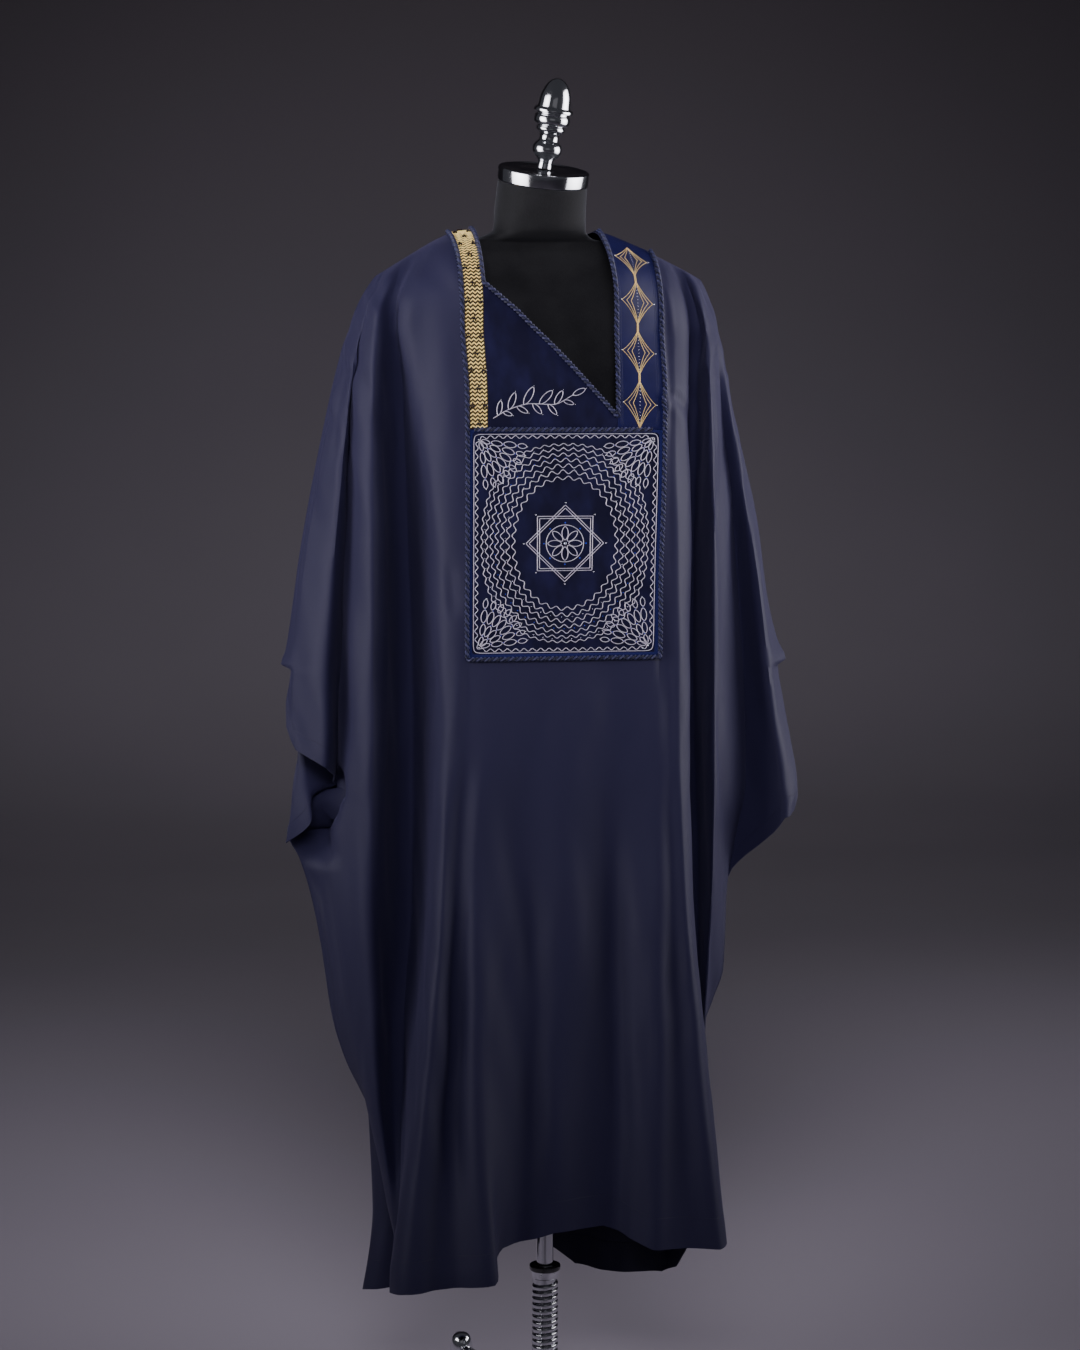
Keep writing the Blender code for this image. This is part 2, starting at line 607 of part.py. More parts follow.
def along_level(level, first, last):
    row = FRONT.row_of(level)
    return [(row, c) for c in range(FRONT.column_of(first), FRONT.column_of(last) + 1)]


outline = down_column("trim outer edge", None, "panel foot")
outline += along_level("panel foot", "trim outer edge", "strap outer edge")[1:]
outline += down_column("strap outer edge", None, "panel foot")[-2::-1]
laid_cord("border_cord", outline, cord)

neckline = down_column("trim inner edge", None, "neck")
neckline += along_level("neck", "trim inner edge", "neck point")[1:]
neckline += down_column("neck point", None, "neck")[-2::-1]
laid_cord("neck_cord", neckline, cord)

yoke = along_level("panel top", "trim outer edge", "strap outer edge")[1:-1]
laid_cord("yoke_cord", yoke, cord)

# ---------------------------------------------------------------- dress form
# z, middle x, half width, front y, back y, squareness
FORM_SECTIONS = (
    (0.800, .000, .128, -.092, .096, 2.4),
    (0.815, .000, .146, -.102, .108, 2.4),
    (0.900, .000, .154, -.104, .112, 2.4),
    (1.000, .000, .146, -.098, .102, 2.4),
    (1.120, .000, .138, -.096, .094, 2.4),
    (1.240, .000, .150, -.104, .098, 2.4),
    (1.340, .000, .162, -.111, .102, 2.4),
    (1.420, -.002, .172, -.108, .102, 2.3),
    (1.490, -.006, .192, -.090, .088, 2.1),
    (1.530, -.007, .205, -.074, .072, 2.0),
    (1.553, -.0085, .2095, -.059, .060, 2.0),
    (1.5605, -.0105, .1985, -.055, .057, 2.0),
    (1.5800, -.0150, .1760, -.046, .048, 2.0),
    (1.5942, -.0165, .1475, -.040, .040, 2.0),
    (1.6055, -.0180, .1130, -.042, .038, 2.0),
    (1.6115, -.0150, .0770, -.052, .043, 2.0),
    (1.6230, -.0090, .0615, -.064, .047, 2.0),
    (1.6500, -.0080, .0605, -.070, .050, 2.0),
    (1.6840, -.0060, .0590, -.077, .041, 2.0),
)
FORM_SIDES = 28


def form_ring(z, middle, half, front, back, power):
    """One ring of the form, tilted with the neck's lean where the neck begins."""
    lean = max(0.0, min(1.0, (z - 1.6150) / (NECK_TOP - 1.6150)))
    centre = (front + back) / 2
    depth = (back - front) / 2
    ring = []
    for k in range(FORM_SIDES):
        turn = 2 * math.pi * k / FORM_SIDES
        c, s = math.cos(turn), math.sin(turn)
        x = half * math.copysign(abs(c) ** (2 / power), c)
        y = depth * math.copysign(abs(s) ** (2 / power), s)
        rise = lean * (y * math.tan(NECK_LEAN) - x * math.tan(NECK_SLOPE))
        ring.append(Vector((middle + x, centre + y, z + rise)))
    return ring


vertices, faces = [], []
for section in FORM_SECTIONS:
    vertices += form_ring(*section)
for ring in range(len(FORM_SECTIONS) - 1):
    for k in range(FORM_SIDES):
        a, b = ring * FORM_SIDES + k, ring * FORM_SIDES + (k + 1) % FORM_SIDES
        faces.append([a, b, b + FORM_SIDES, a + FORM_SIDES])
faces.append(list(range(FORM_SIDES)))
faces.append([len(vertices) - 1 - k for k in range(FORM_SIDES)])
solid("form_torso", vertices, faces, jersey)


def turned(name, profile, finish, place=(0.0, 0.0, 0.0), tilt=None, steps=ROUND_STEPS, bore=0.0):
    """A turned piece from (radius, height) pairs, solid or with a plain bore through it."""
    rings = [pair for pair in profile]
    if bore:
        rings = rings + [(bore, rings[-1][1]), (bore, rings[0][1])]
    points, quads = [], []
    for radius, height in rings:
        for k in range(steps):
            turn = 2 * math.pi * k / steps
            points.append(Vector((radius * math.cos(turn), radius * math.sin(turn), height)))
    count = len(rings)
    for i in range(count if bore else count - 1):
        for k in range(steps):
            a, b = i * steps + k, i * steps + (k + 1) % steps
            shift = ((i + 1) % count - i) * steps
            quads.append([a, b, b + shift, a + shift])
    if not bore:
        quads.append([k for k in range(steps)])
        quads.append([(count - 1) * steps + k for k in reversed(range(steps))])
    made = solid(name, points, quads, finish)
    made.matrix_world = Matrix.Translation(place) @ (tilt or Matrix()).to_4x4()
    return made


CAP_EDGE = 0.002
FINIAL_SINK = 0.0012       # the foot's low edge stays over the cap

cap_tilt = Matrix.Rotation(NECK_LEAN, 3, "X") @ Matrix.Rotation(NECK_SLOPE, 3, "Y")
neck_centre = Vector((-.0060, -.0180, NECK_TOP))
cap_seat = neck_centre + cap_tilt @ Vector((0, 0, SEAM_GAP))
turned("neck_cap", ((NECK_CAP_RADIUS - CAP_EDGE, 0.0), (NECK_CAP_RADIUS, CAP_EDGE),
                    (NECK_CAP_RADIUS, NECK_CAP_HEIGHT - CAP_EDGE),
                    (NECK_CAP_RADIUS - CAP_EDGE, NECK_CAP_HEIGHT)), chrome, cap_seat, cap_tilt,
       steps=36)

FINIAL_PROFILE = ((.0100, .000), (.0095, .010), (.0120, .0135), (.0180, .0190), (.0195, .0250),
                  (.0180, .0310), (.0128, .0355), (.0125, .0450), (.0185, .0490), (.0190, .0540),
                  (.0225, .0560), (.0236, .0620), (.0236, .0700), (.0262, .0730), (.0262, .0775),
                  (.0215, .0800), (.0205, .0900), (.0180, .1020), (.0120, .1120), (.0045, .1180))
finial_tilt = Matrix.Rotation(NECK_LEAN * 0.6, 3, "X") @ Matrix.Rotation(FINIAL_LEAN, 3, "Y")
finial_seat = cap_seat + cap_tilt @ Vector((0, 0, NECK_CAP_HEIGHT + FINIAL_SINK))
turned("finial", FINIAL_PROFILE, chrome, finial_seat, finial_tilt, steps=20)

# ---------------------------------------------------------------- stand
HUB_FLOOR = 0.010
COLUMN_FOOT = HUB_FLOOR + HUB_HEIGHT + SEAM_GAP
COLLAR_FOOT = COLLAR_TOP - COLLAR_HEIGHT - COLLAR_SKIRT
COLUMN_TOP = COLLAR_FOOT - SEAM_GAP
POLE_FOOT = COLUMN_FOOT + 0.030
BORE = POLE_RADIUS + SEAM_GAP * 1.5

turned("pole", ((POLE_RADIUS, POLE_FOOT), (POLE_RADIUS, FORM_BOTTOM - SEAM_GAP)), chrome)
turned("column", ((COLUMN_RADIUS, COLUMN_FOOT), (COLUMN_RADIUS, COLUMN_TOP)), chrome, bore=BORE)
turned("collar", ((SPRING_RADIUS, COLLAR_FOOT), (SPRING_RADIUS, COLLAR_TOP - COLLAR_HEIGHT),
                  (COLLAR_RADIUS, COLLAR_TOP - COLLAR_HEIGHT + CAP_EDGE),
                  (COLLAR_RADIUS, COLLAR_TOP - CAP_EDGE), (COLLAR_RADIUS - CAP_EDGE, COLLAR_TOP)),
       chrome, bore=BORE)

coils = int((COLUMN_TOP - COLUMN_FOOT - SEAM_GAP) / SPRING_PITCH)
wire = SPRING_RADIUS - COLUMN_RADIUS
spring_profile = []
for turn in range(coils):
    foot = COLUMN_FOOT + SEAM_GAP + turn * SPRING_PITCH
    spring_profile.append((SPRING_RADIUS - wire * 0.35, foot))
    spring_profile.append((SPRING_RADIUS, foot + SPRING_PITCH / 2))
spring_profile.append((SPRING_RADIUS - wire * 0.35, COLUMN_FOOT + SEAM_GAP + coils * SPRING_PITCH))
turned("spring", spring_profile, chrome, steps=16, bore=COLUMN_RADIUS + SEAM_GAP)

turned("hub", ((HUB_RADIUS - CAP_EDGE, HUB_FLOOR), (HUB_RADIUS, HUB_FLOOR + CAP_EDGE),
               (HUB_RADIUS, HUB_FLOOR + HUB_HEIGHT - CAP_EDGE),
               (HUB_RADIUS - CAP_EDGE, HUB_FLOOR + HUB_HEIGHT)), chrome)

FOOT_PROFILE = ((.0160, .0000), (FOOT_RADIUS, .0030), (FOOT_RADIUS, .0140), (.0162, .0260),
                (.0142, .0360), (.0112, .0420), (.0060, .0455), (.0015, .0463))
lie_down = Matrix.Rotation(math.radians(90.0), 3, "Y")
for number, angle in enumerate(LEG_ANGLES, start=1):
    heading = Matrix.Rotation(math.radians(angle), 3, "Z")
    leg_start = HUB_RADIUS + SEAM_GAP
    length = LEG_REACH - FOOT_RADIUS - SEAM_GAP - leg_start
    turned("leg_%d" % number, ((LEG_RADIUS, 0.0), (LEG_RADIUS, length)), chrome,
           heading @ Vector((leg_start, 0, LEG_HEIGHT)), heading @ lie_down, steps=20)
    turned("foot_%d" % number, FOOT_PROFILE, chrome,
           heading @ Vector((LEG_REACH, 0, PAD_HEIGHT + SEAM_GAP)), steps=20)
    turned("foot_pad_%d" % number, ((PAD_RADIUS, 0.0), (PAD_RADIUS, PAD_HEIGHT)), rubber,
           heading @ Vector((LEG_REACH, 0, 0)), steps=20)

# ---------------------------------------------------------------- place
bpy.context.view_layer.update()
pieces = list(bpy.data.objects)
reach = [piece.matrix_world @ vertex.co for piece in pieces for vertex in piece.data.vertices]
middle = Vector([(min(p[i] for p in reach) + max(p[i] for p in reach)) / 2 for i in (0, 1)] + [0])
for piece in pieces:
    piece.location -= middle
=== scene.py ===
import math

import bpy
import numpy as np
from mathutils import Matrix, Vector


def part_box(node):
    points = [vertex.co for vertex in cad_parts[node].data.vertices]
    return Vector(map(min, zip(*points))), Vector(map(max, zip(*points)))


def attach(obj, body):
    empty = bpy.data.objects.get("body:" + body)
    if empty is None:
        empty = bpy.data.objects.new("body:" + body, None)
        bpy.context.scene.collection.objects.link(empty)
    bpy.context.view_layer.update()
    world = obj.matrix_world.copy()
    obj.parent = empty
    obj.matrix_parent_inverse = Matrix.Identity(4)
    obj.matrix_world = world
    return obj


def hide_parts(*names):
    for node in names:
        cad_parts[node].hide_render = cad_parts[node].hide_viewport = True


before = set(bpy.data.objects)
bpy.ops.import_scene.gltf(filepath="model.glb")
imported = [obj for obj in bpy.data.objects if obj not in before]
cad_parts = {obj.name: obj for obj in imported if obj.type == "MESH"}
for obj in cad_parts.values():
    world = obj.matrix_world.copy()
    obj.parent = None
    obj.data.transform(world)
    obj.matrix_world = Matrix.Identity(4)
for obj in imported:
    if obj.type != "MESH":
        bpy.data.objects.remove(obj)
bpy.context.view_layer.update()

# ==================================================================== robe: front and back
# Two wide panels of smooth navy suiting, each cut in one with its half of the sleeves and sewn to
# the other along the shoulders and sides.  They hang in long folds from the form's shoulders, and
# every line in the tables below is one fold, with its place in plan at seven heights.
pole_low, pole_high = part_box("pole")
AXIS = np.array([(pole_low.x + pole_high.x) / 2, (pole_low.y + pole_high.y) / 2, 0.0])
CLOTH = 0.0014             # thickness of the suiting
SEWN_GAP = 0.0001          # between front and back where they are sewn together
SHOULDER_DROP = 0.10       # height over which the cloth rounds the shoulder
SEAM_CREASE = 0.25         # how much the cloth's curve softens as it passes a side seam
BACK_NECK_DIP = 0.017      # how far the back neckline lies under the shoulder line
HEM_BAND = 0.043           # turned-up cloth at the bottom hem
CUFF_BAND = 0.027          # turned-in cloth at a sleeve's mouth
CREASE_END = 0.3           # share of a crease's length over which an end of it fades
OPEN_HEM = 0.45            # a crease whose foot lies lower than this runs out through the hem
WAVES = 9                  # slow waves that make the cloth uneven
WAVE_WIDTHS = (.035, .12)  # least and most, across the cloth
WAVE_LENGTHS = (.25, .9)   # least and most, down the cloth
WAVE_HEIGHT = 0.010        # as a share of a wave's width
CALM_EDGE, CALM_TOP = 0.012, 0.05       # creases grow from nothing over this much of the cloth
CALM_TRIM, TRIM_SHARE = 0.08, 0.08      # the same under the square panel, and what trim leaves
HEIGHTS = (1.49, 1.40, 1.19, 1.00, 0.78, 0.51, 0.25)

# name, x on the shoulder, x at each height, y at each height
FRONT_FOLDS = (
    ("left edge", -.2275, None, None),
    ("left groove", -.2235, (-.260, -.283, -.322, -.341, -.332, -.332, -.332),
     (-.016, -.022, -.026, -.030, -.030, -.030, -.030)),
    ("left outer ridge", -.2195, (-.252, -.267, -.289, -.300, -.301, -.301, -.301),
     (-.042, -.053, -.064, -.067, -.056, -.056, -.056)),
    ("left seam", -.2155, None, None),
    ("left ridge lip", -.2100, (-.246, -.255, -.263, -.267, -.282, -.254, -.204),
     (-.062, -.068, -.072, -.074, -.052, -.018, .030)),
    ("left ridge", -.2030, (-.235, -.238, -.240, -.240, -.243, -.236, -.204),
     (-.078, -.088, -.097, -.098, -.085, -.048, .006)),
    ("left valley side", -.1900, (-.217, -.210, -.203, -.202, -.204, -.211, -.200),
     (-.066, -.046, -.018, -.012, -.012, -.010, -.016)),
    ("left valley", -.1780, (-.206, -.193, -.183, -.178, -.179, -.194, -.203),
     (-.064, -.042, -.008, .000, .000, -.008, -.040)),
    ("panel left lip", -.1650, (-.203, -.190, -.167, -.162, -.166, -.188, -.226),
     (-.082, -.080, -.080, -.082, -.092, -.108, -.128)),
    ("panel left ridge", -.1500, (-.186, -.174, -.154, -.151, -.155, -.178, -.211),
     (-.098, -.106, -.118, -.121, -.128, -.144, -.164)),
    ("trim outer edge", -.1290, (-.123, -.118, -.119, -.121, -.134, -.148, -.165),
     (-.117, -.127, -.129, -.128, -.119, -.124, -.160)),
    ("trim inner edge", -.1010, (-.098, -.094, -.094, -.096, -.111, -.112, -.095),
     (-.118, -.129, -.131, -.131, -.128, -.141, -.173)),
    ("left of centre", -.0400, (-.055, -.045, -.045, -.045, -.056, -.045, -.080),
     (-.119, -.129, -.131, -.130, -.116, -.115, -.132)),
    ("centre", .0100, (.010, .012, .010, .008, .006, .000, -.005),
     (-.119, -.128, -.131, -.131, -.125, -.123, -.125)),
    ("neck point", .0650, (.0755, .0760, .0720, .0680, .0650, .0660, .0620),
     (-.112, -.126, -.129, -.126, -.112, -.104, -.106)),
    ("strap outer edge", .1340, (.1370, .1370, .1320, .1290, .1300, .1300, .1250),
     (-.092, -.117, -.128, -.129, -.128, -.130, -.140)),
    ("panel right hollow", .1430, (.1480, .1470, .1460, .1460, .1500, .1620, .1740),
     (-.086, -.112, -.1265, -.1275, -.124, -.122, -.130)),
    ("panel right ridge", .1520, (.1610, .1570, .1590, .1600, .1680, .1900, .2180),
     (-.084, -.108, -.125, -.127, -.129, -.131, -.140)),
    ("panel right lip", .1600, (.1780, .1760, .1800, .1800, .1830, .2060, .2310),
     (-.070, -.088, -.098, -.099, -.101, -.102, -.118)),
    ("right valley", .1690, (.1850, .1850, .1880, .1880, .1930, .2080, .2240),
     (-.050, -.030, -.006, -.002, -.006, -.020, -.012)),
    ("right valley side", .1780, (.2010, .2020, .2040, .2040, .2110, .2120, .2200),
     (-.049, -.030, -.008, -.006, -.012, -.010, -.002)),
    ("right ridge", .1870, (.2060, .2080, .2110, .2120, .2150, .2160, .2230),
     (-.067, -.083, -.099, -.099, -.080, -.022, .010)),
    ("right ridge lip", .1930, (.2170, .2190, .2230, .2250, .2270, .2200, .2240),
     (-.056, -.068, -.082, -.082, -.060, -.008, .016)),
    ("right seam", .1990, None, None),
    ("right outer ridge", .2050, (.2330, .2440, .2770, .3000, .3240, .3240, .3240),
     (-.018, -.030, -.044, -.052, -.050, -.050, -.050)),
    ("right edge", .2110, None, None),
)

BACK_FOLDS = (
    ("left edge", -.2275, None, None),
    ("left outer ridge", -.2200, (-.256, -.278, -.312, -.326, -.318, -.318, -.318),
     (.030, .038, .046, .040, -.060, -.060, -.060)),
    ("left seam", -.2155, None, None),
    ("left ridge", -.2050, None, None),
    ("left ridge side", -.1950, (-.226, -.232, -.232, -.232, -.244, -.234, -.222),
     (.064, .070, .078, .082, .100, .104, .122)),
    ("left valley", -.1830, (-.206, -.204, -.200, -.196, -.204, -.214, -.205),
     (.060, .044, .022, .018, .034, .070, .112)),
    ("back left lip", -.1680, (-.190, -.184, -.172, -.170, -.180, -.200, -.194),
     (.078, .084, .086, .088, .098, .112, .130)),
    ("back left crest", -.1540, (-.172, -.168, -.156, -.154, -.162, -.178, -.170),
     (.092, .104, .114, .116, .122, .136, .148)),
    ("back left hollow", -.1200, (-.122, -.120, -.116, -.114, -.120, -.130, -.128),
     (.106, .118, .120, .116, .110, .112, .124)),
    ("back left pleat", -.1010, (-.072, -.072, -.072, -.072, -.076, -.082, -.080),
     (.112, .124, .128, .128, .128, .134, .146)),
    ("back centre", -.0100, (-.012, -.012, -.012, -.014, -.016, -.016, -.010),
     (.114, .125, .124, .118, .112, .114, .128)),
    ("back right pleat", .0650, (.056, .056, .056, .058, .060, .064, .066),
     (.110, .123, .127, .128, .128, .136, .148)),
    ("back right hollow", .1240, (.116, .114, .112, .112, .114, .122, .126),
     (.096, .112, .119, .115, .109, .110, .122)),
    ("back right ridge", .1500, (.158, .160, .160, .160, .164, .178, .190),
     (.082, .098, .112, .116, .120, .130, .138)),
    ("back right lip", .1620, (.172, .174, .176, .176, .182, .194, .206),
     (.070, .078, .084, .088, .096, .100, .112)),
    ("right valley", .1760, (.190, .192, .198, .200, .204, .206, .214),
     (.052, .038, .022, .018, .028, .050, .080)),
    ("right ridge", .1900, (.218, .222, .232, .238, .240, .222, .226),
     (.052, .062, .074, .078, .074, .054, .060)),
    ("right seam", .1990, None, None),
    ("right outer ridge", .2050, (.2330, .2450, .2830, .3070, .3050, .3050, .3050),
     (.018, .026, .038, .048, .054, .054, .054)),
    ("right edge", .2110, None, None),
)

# Lines with a path of their own, as z, x and y.  The edges run down the fold of the shoulder,
# which is one for front and back, and then down the two sides of the sleeve's mouth.  Both layers
# share the side seams, and part from them by a depth of their own above the mouth.
LEFT_FOLD = ((1.49, -.265, .000), (1.40, -.288, .000), (1.19, -.330, .000), (1.134, -.338, .000),
             (1.066, -.349, .000))
RIGHT_FOLD = ((1.49, .237, .000), (1.40, .2525, .000), (1.235, .290, .000), (1.126, .306, .000),
              (1.071, .320, .000))
PATHS = {
    "front left edge": LEFT_FOLD + (
        (1.049, -.355, .000), (1.040, -.342, -.002), (1.026, -.344, -.006), (.992, -.350, -.012),
        (.966, -.350, -.016), (.880, -.350, -.020)),
    "back left edge": LEFT_FOLD + (
        (1.049, -.354, .000), (1.040, -.340, .004), (.990, -.340, .012), (.927, -.333, .014),
        (.887, -.340, .002), (.860, -.344, -.016), (.829, -.351, -.038), (.813, -.355, -.048)),
    "front right edge": RIGHT_FOLD + (
        (1.046, .331, .000), (1.037, .320, -.002), (.990, .326, -.010), (.936, .335, -.018),
        (.881, .3435, -.022), (.861, .344, -.024), (.838, .339, -.024)),
    "back right edge": RIGHT_FOLD + (
        (1.046, .330, .000), (1.037, .319, .004), (.990, .324, .010), (.936, .333, .018),
        (.881, .341, .026), (.838, .336, .030)),
    "back left ridge": (
        (1.49, -.243, .062), (1.40, -.250, .074), (1.19, -.254, .086), (1.00, -.256, .088),
        (.80, -.272, .090), (.60, -.264, .086), (.50, -.240, .086), (.396, -.222, .090),
        (.322, -.224, .090), (.273, -.225, .092), (.237, -.229, .095), (.156, -.2415, .104)),
    "left seam": (
        (1.49, -.250, -.044), (1.40, -.263, -.030), (1.19, -.272, -.016), (1.00, -.279, -.008),
        (.885, -.284, .000), (.868, -.322, -.006), (.824, -.350, -.018), (.790, -.334, -.014),
        (.730, -.316, .004), (.670, -.304, .016), (.560, -.287, .028), (.500, -.269, .032),
        (.460, -.250, .032), (.410, -.227, .036), (.354, -.205, .042), (.326, -.202, .048),
        (.250, -.200, .056), (.160, -.200, .060)),
    "right seam": (
        (1.49, .226, -.034), (1.40, .234, -.028), (1.19, .258, -.016), (1.00, .272, -.010),
        (.880, .276, -.004), (.800, .264, .002), (.745, .2550, .008), (.714, .2530, .010),
        (.660, .2520, .012), (.615, .2500, .014), (.575, .2370, .016), (.530, .2240, .018),
        (.400, .2240, .020), (.250, .2260, .022), (.160, .2260, .022)),
}
BACK_SEAM_DEPTH = {     # z, how far behind the front's line the back's runs
    "left seam": ((1.49, .078), (1.40, .066), (1.19, .052), (1.00, .040), (.92, .026), (.885, 0.)),
    "right seam": ((1.49, .066), (1.40, .062), (1.19, .056), (1.00, .050), (.88, .040),
                   (.80, .028), (.745, 0.)),
}

# x and z along the shoulder line
SHOULDER_LINE = ((-.2275, 1.5600), (-.1950, 1.5800), (-.1500, 1.6070), (-.1290, 1.6170),
                 (-.1010, 1.6205), (.0650, 1.6205), (.0850, 1.6150), (.1340, 1.5950),
                 (.1720, 1.5775), (.2110, 1.5570))

# Levels of the rows that carry something: height at each named column, straight lines between.
FRONT_LEVELS = {
    "neck": (("left edge", 1.500), ("left ridge", 1.500), ("panel left ridge", 1.530),
             ("trim inner edge", 1.551), ("left of centre", 1.516), ("centre", 1.449),
             ("neck point", 1.378), ("strap outer edge", 1.415), ("right edge", 1.430)),
    "panel top": (("left edge", 1.366), ("right edge", 1.358)),
    "panel foot": (("left edge", 1.049), ("left ridge", 1.066), ("right valley", 1.066),
                   ("right edge", 1.046)),
    "left mouth": (("left edge", .966), ("left groove", .936), ("left outer ridge", .915),
                   ("left seam", .885), ("panel left lip", .885), ("right edge", .885)),
    "right mouth": (("left edge", .745), ("panel right lip", .745), ("right seam", .745),
                    ("right outer ridge", .834), ("right edge", .840)),
    "hem": (("left edge", .172), ("left seam", .172), ("left ridge", .192),
            ("left valley", .206), ("panel left lip", .222), ("panel left ridge", .229),
            ("trim outer edge", .232), ("trim inner edge", .240), ("left of centre", .276),
            ("centre", .292), ("neck point", .294), ("strap outer edge", .268),
            ("panel right ridge", .264), ("panel right lip", .267), ("right valley", .264),
            ("right seam", .262), ("right edge", .262)),
}
BACK_LEVELS = {
    "yoke": (("left edge", 1.430), ("back left crest", 1.460), ("back centre", 1.500),
             ("back right ridge", 1.460), ("right edge", 1.430)),
    "waist": (("left edge", 1.049), ("left ridge", 1.100), ("right ridge", 1.100),
              ("right edge", 1.046)),
    "left mouth": (("left edge", .814), ("left outer ridge", .845), ("left seam", .885),
                   ("right edge", .885)),
    "right mouth": (("left edge", .745), ("right seam", .745), ("right outer ridge", .800),
                    ("right edge", .838)),
    "hem": (("left edge", .172), ("left seam", .172), ("left ridge", .157),
            ("back left crest", .162), ("back left hollow", .178), ("back left pleat", .206),
            ("back centre", .232), ("back right pleat", .168), ("back right ridge", .154),
            ("back right lip", .168), ("right valley", .205), ("right ridge", .258),
            ("right seam", .262), ("right edge", .262)),
}

# level name, rows between it and the one above, how the rows crowd towards the one above
FRONT_BANDS = (("neck", 34, 2.0), ("panel top", 20, 1.0), ("panel foot", 44, 1.0),
               ("left mouth", 30, 1.3), ("right mouth", 20, 1.0), ("hem", 64, 1.0))
BACK_BANDS = (("yoke", 34, 2.0), ("waist", 54, 1.0), ("left mouth", 34, 1.2),
              ("right mouth", 18, 1.0), ("hem", 74, 1.0))

# Smaller creases: the fold line that each starts from, the height and the share of the way to the
# next fold line at its top and at its foot, bow, width and depth in mm (a trough is below zero).
FRONT_CREASES = (
    ("left edge", 1.480, .35, 1.052, .92, .00, 2.2, -1.2),
    ("right outer ridge", 1.500, .55, 1.050, .35, .00, 2.2, -1.2),
    ("left ridge", 1.520, .20, 1.120, .55, .15, 7.0, 1.6),
    ("left groove", 1.500, .30, 1.260, .70, -.1, 6.0, -1.6),
    ("panel left ridge", 1.200, .25, 1.110, .45, .05, 9.0, -2.6),
    ("panel left ridge", 1.150, .60, 0.830, .42, .10, 11., 3.0),
    ("panel left ridge", 0.900, .80, 0.240, .45, .05, 14., 4.0),
    ("trim outer edge", 0.760, .20, 0.240, .30, .00, 12., -5.0),
    ("trim outer edge", 0.820, .95, 0.240, .95, .05, 16., 5.0),
    ("left of centre", 0.830, .30, 0.280, .35, .00, 15., -6.0),
    ("neck point", 0.890, .05, 0.290, .30, .06, 16., -9.0),
    ("strap outer edge", 0.900, .30, 0.270, .10, .00, 14., 4.0),
    ("panel right hollow", 1.560, .20, 1.480, .50, .10, 5.0, 1.8),
    ("strap outer edge", 1.500, .30, 1.340, .80, .10, 4.5, 1.6),
    ("right ridge", 1.460, .40, 1.180, .60, .10, 6.0, -1.5),
    ("right outer ridge", 1.300, -.3, 0.960, -.2, .10, 8.0, 2.0),
    ("left outer ridge", 1.120, .30, 0.930, .60, .20, 7.0, -2.0),
    ("left ridge lip", 0.900, .40, 0.640, .60, .10, 7.0, 1.8),
    ("left seam", 0.915, .55, 0.775, .50, .00, 20., -64.0),
    ("left ridge", 1.420, .35, 0.700, .35, .00, 9.0, 4.0),
)
BACK_CREASES = (
    ("left edge", 1.480, .35, 1.052, .92, .00, 2.2, -1.2),
    ("right outer ridge", 1.500, .55, 1.050, .35, .00, 2.2, -1.2),
    ("back left crest", 1.420, .40, 0.700, .60, .12, 13., -3.0),
    ("back left pleat", 1.250, .30, 0.250, .45, .08, 16., 4.5),
    ("back centre", 1.000, .25, 0.250, .10, -.1, 16., -5.0),
    ("back centre", 1.350, .75, 0.400, .60, .05, 15., 3.5),
    ("back right pleat", 1.100, .50, 0.220, .60, .10, 14., -4.0),
    ("back right ridge", 1.470, .30, 1.100, .60, .15, 8.0, 2.0),
    ("right ridge", 1.420, .30, 0.980, .50, .10, 7.0, -2.0),
    ("left ridge", 1.400, .30, 0.960, .40, .20, 8.0, 1.8),
    ("left seam", 0.420, .30, 0.150, .42, .00, 8.0, -9.0),
)


def bent(start, leave, end, arrive, t):
    """A cubic between two places, with the ways that it leaves one and arrives at the other."""
    return (start * (1 + 2 * t) * (1 - t) ** 2 + leave * t * (1 - t) ** 2
            + end * t * t * (3 - 2 * t) - arrive * t * t * (1 - t))


def smooth_through(keys, values, where):
    """A smooth curve through values at rising keys, read at where, that doesn't overshoot."""
    keys, values = np.asarray(keys, float), np.asarray(values, float)
    where = np.clip(where, keys[0], keys[-1])
    chord = np.diff(values) / np.diff(keys)
    slope = np.concatenate((chord[:1], np.zeros(len(keys) - 2), chord[-1:]))
    rising = chord[:-1] * chord[1:] > 0
    total = np.where(rising, chord[:-1] + chord[1:], 1.0)
    slope[1:-1] = np.where(rising, 2 * chord[:-1] * chord[1:] / total, 0.0)
    i = np.clip(np.searchsorted(keys, where, "right") - 1, 0, len(keys) - 2)
    span = keys[i + 1] - keys[i]
    t = (where - keys[i]) / span
    return bent(values[i], slope[i] * span, values[i + 1], slope[i + 1] * span, t)


def unit(vectors):
    """Vectors of length one, the same way."""
    return vectors / np.maximum(np.linalg.norm(vectors, axis=-1, keepdims=True), 1e-12)


def ease(share):
    """A soft step from nought to one."""
    share = np.clip(share, 0.0, 1.0)
    return share * share * (3 - 2 * share)


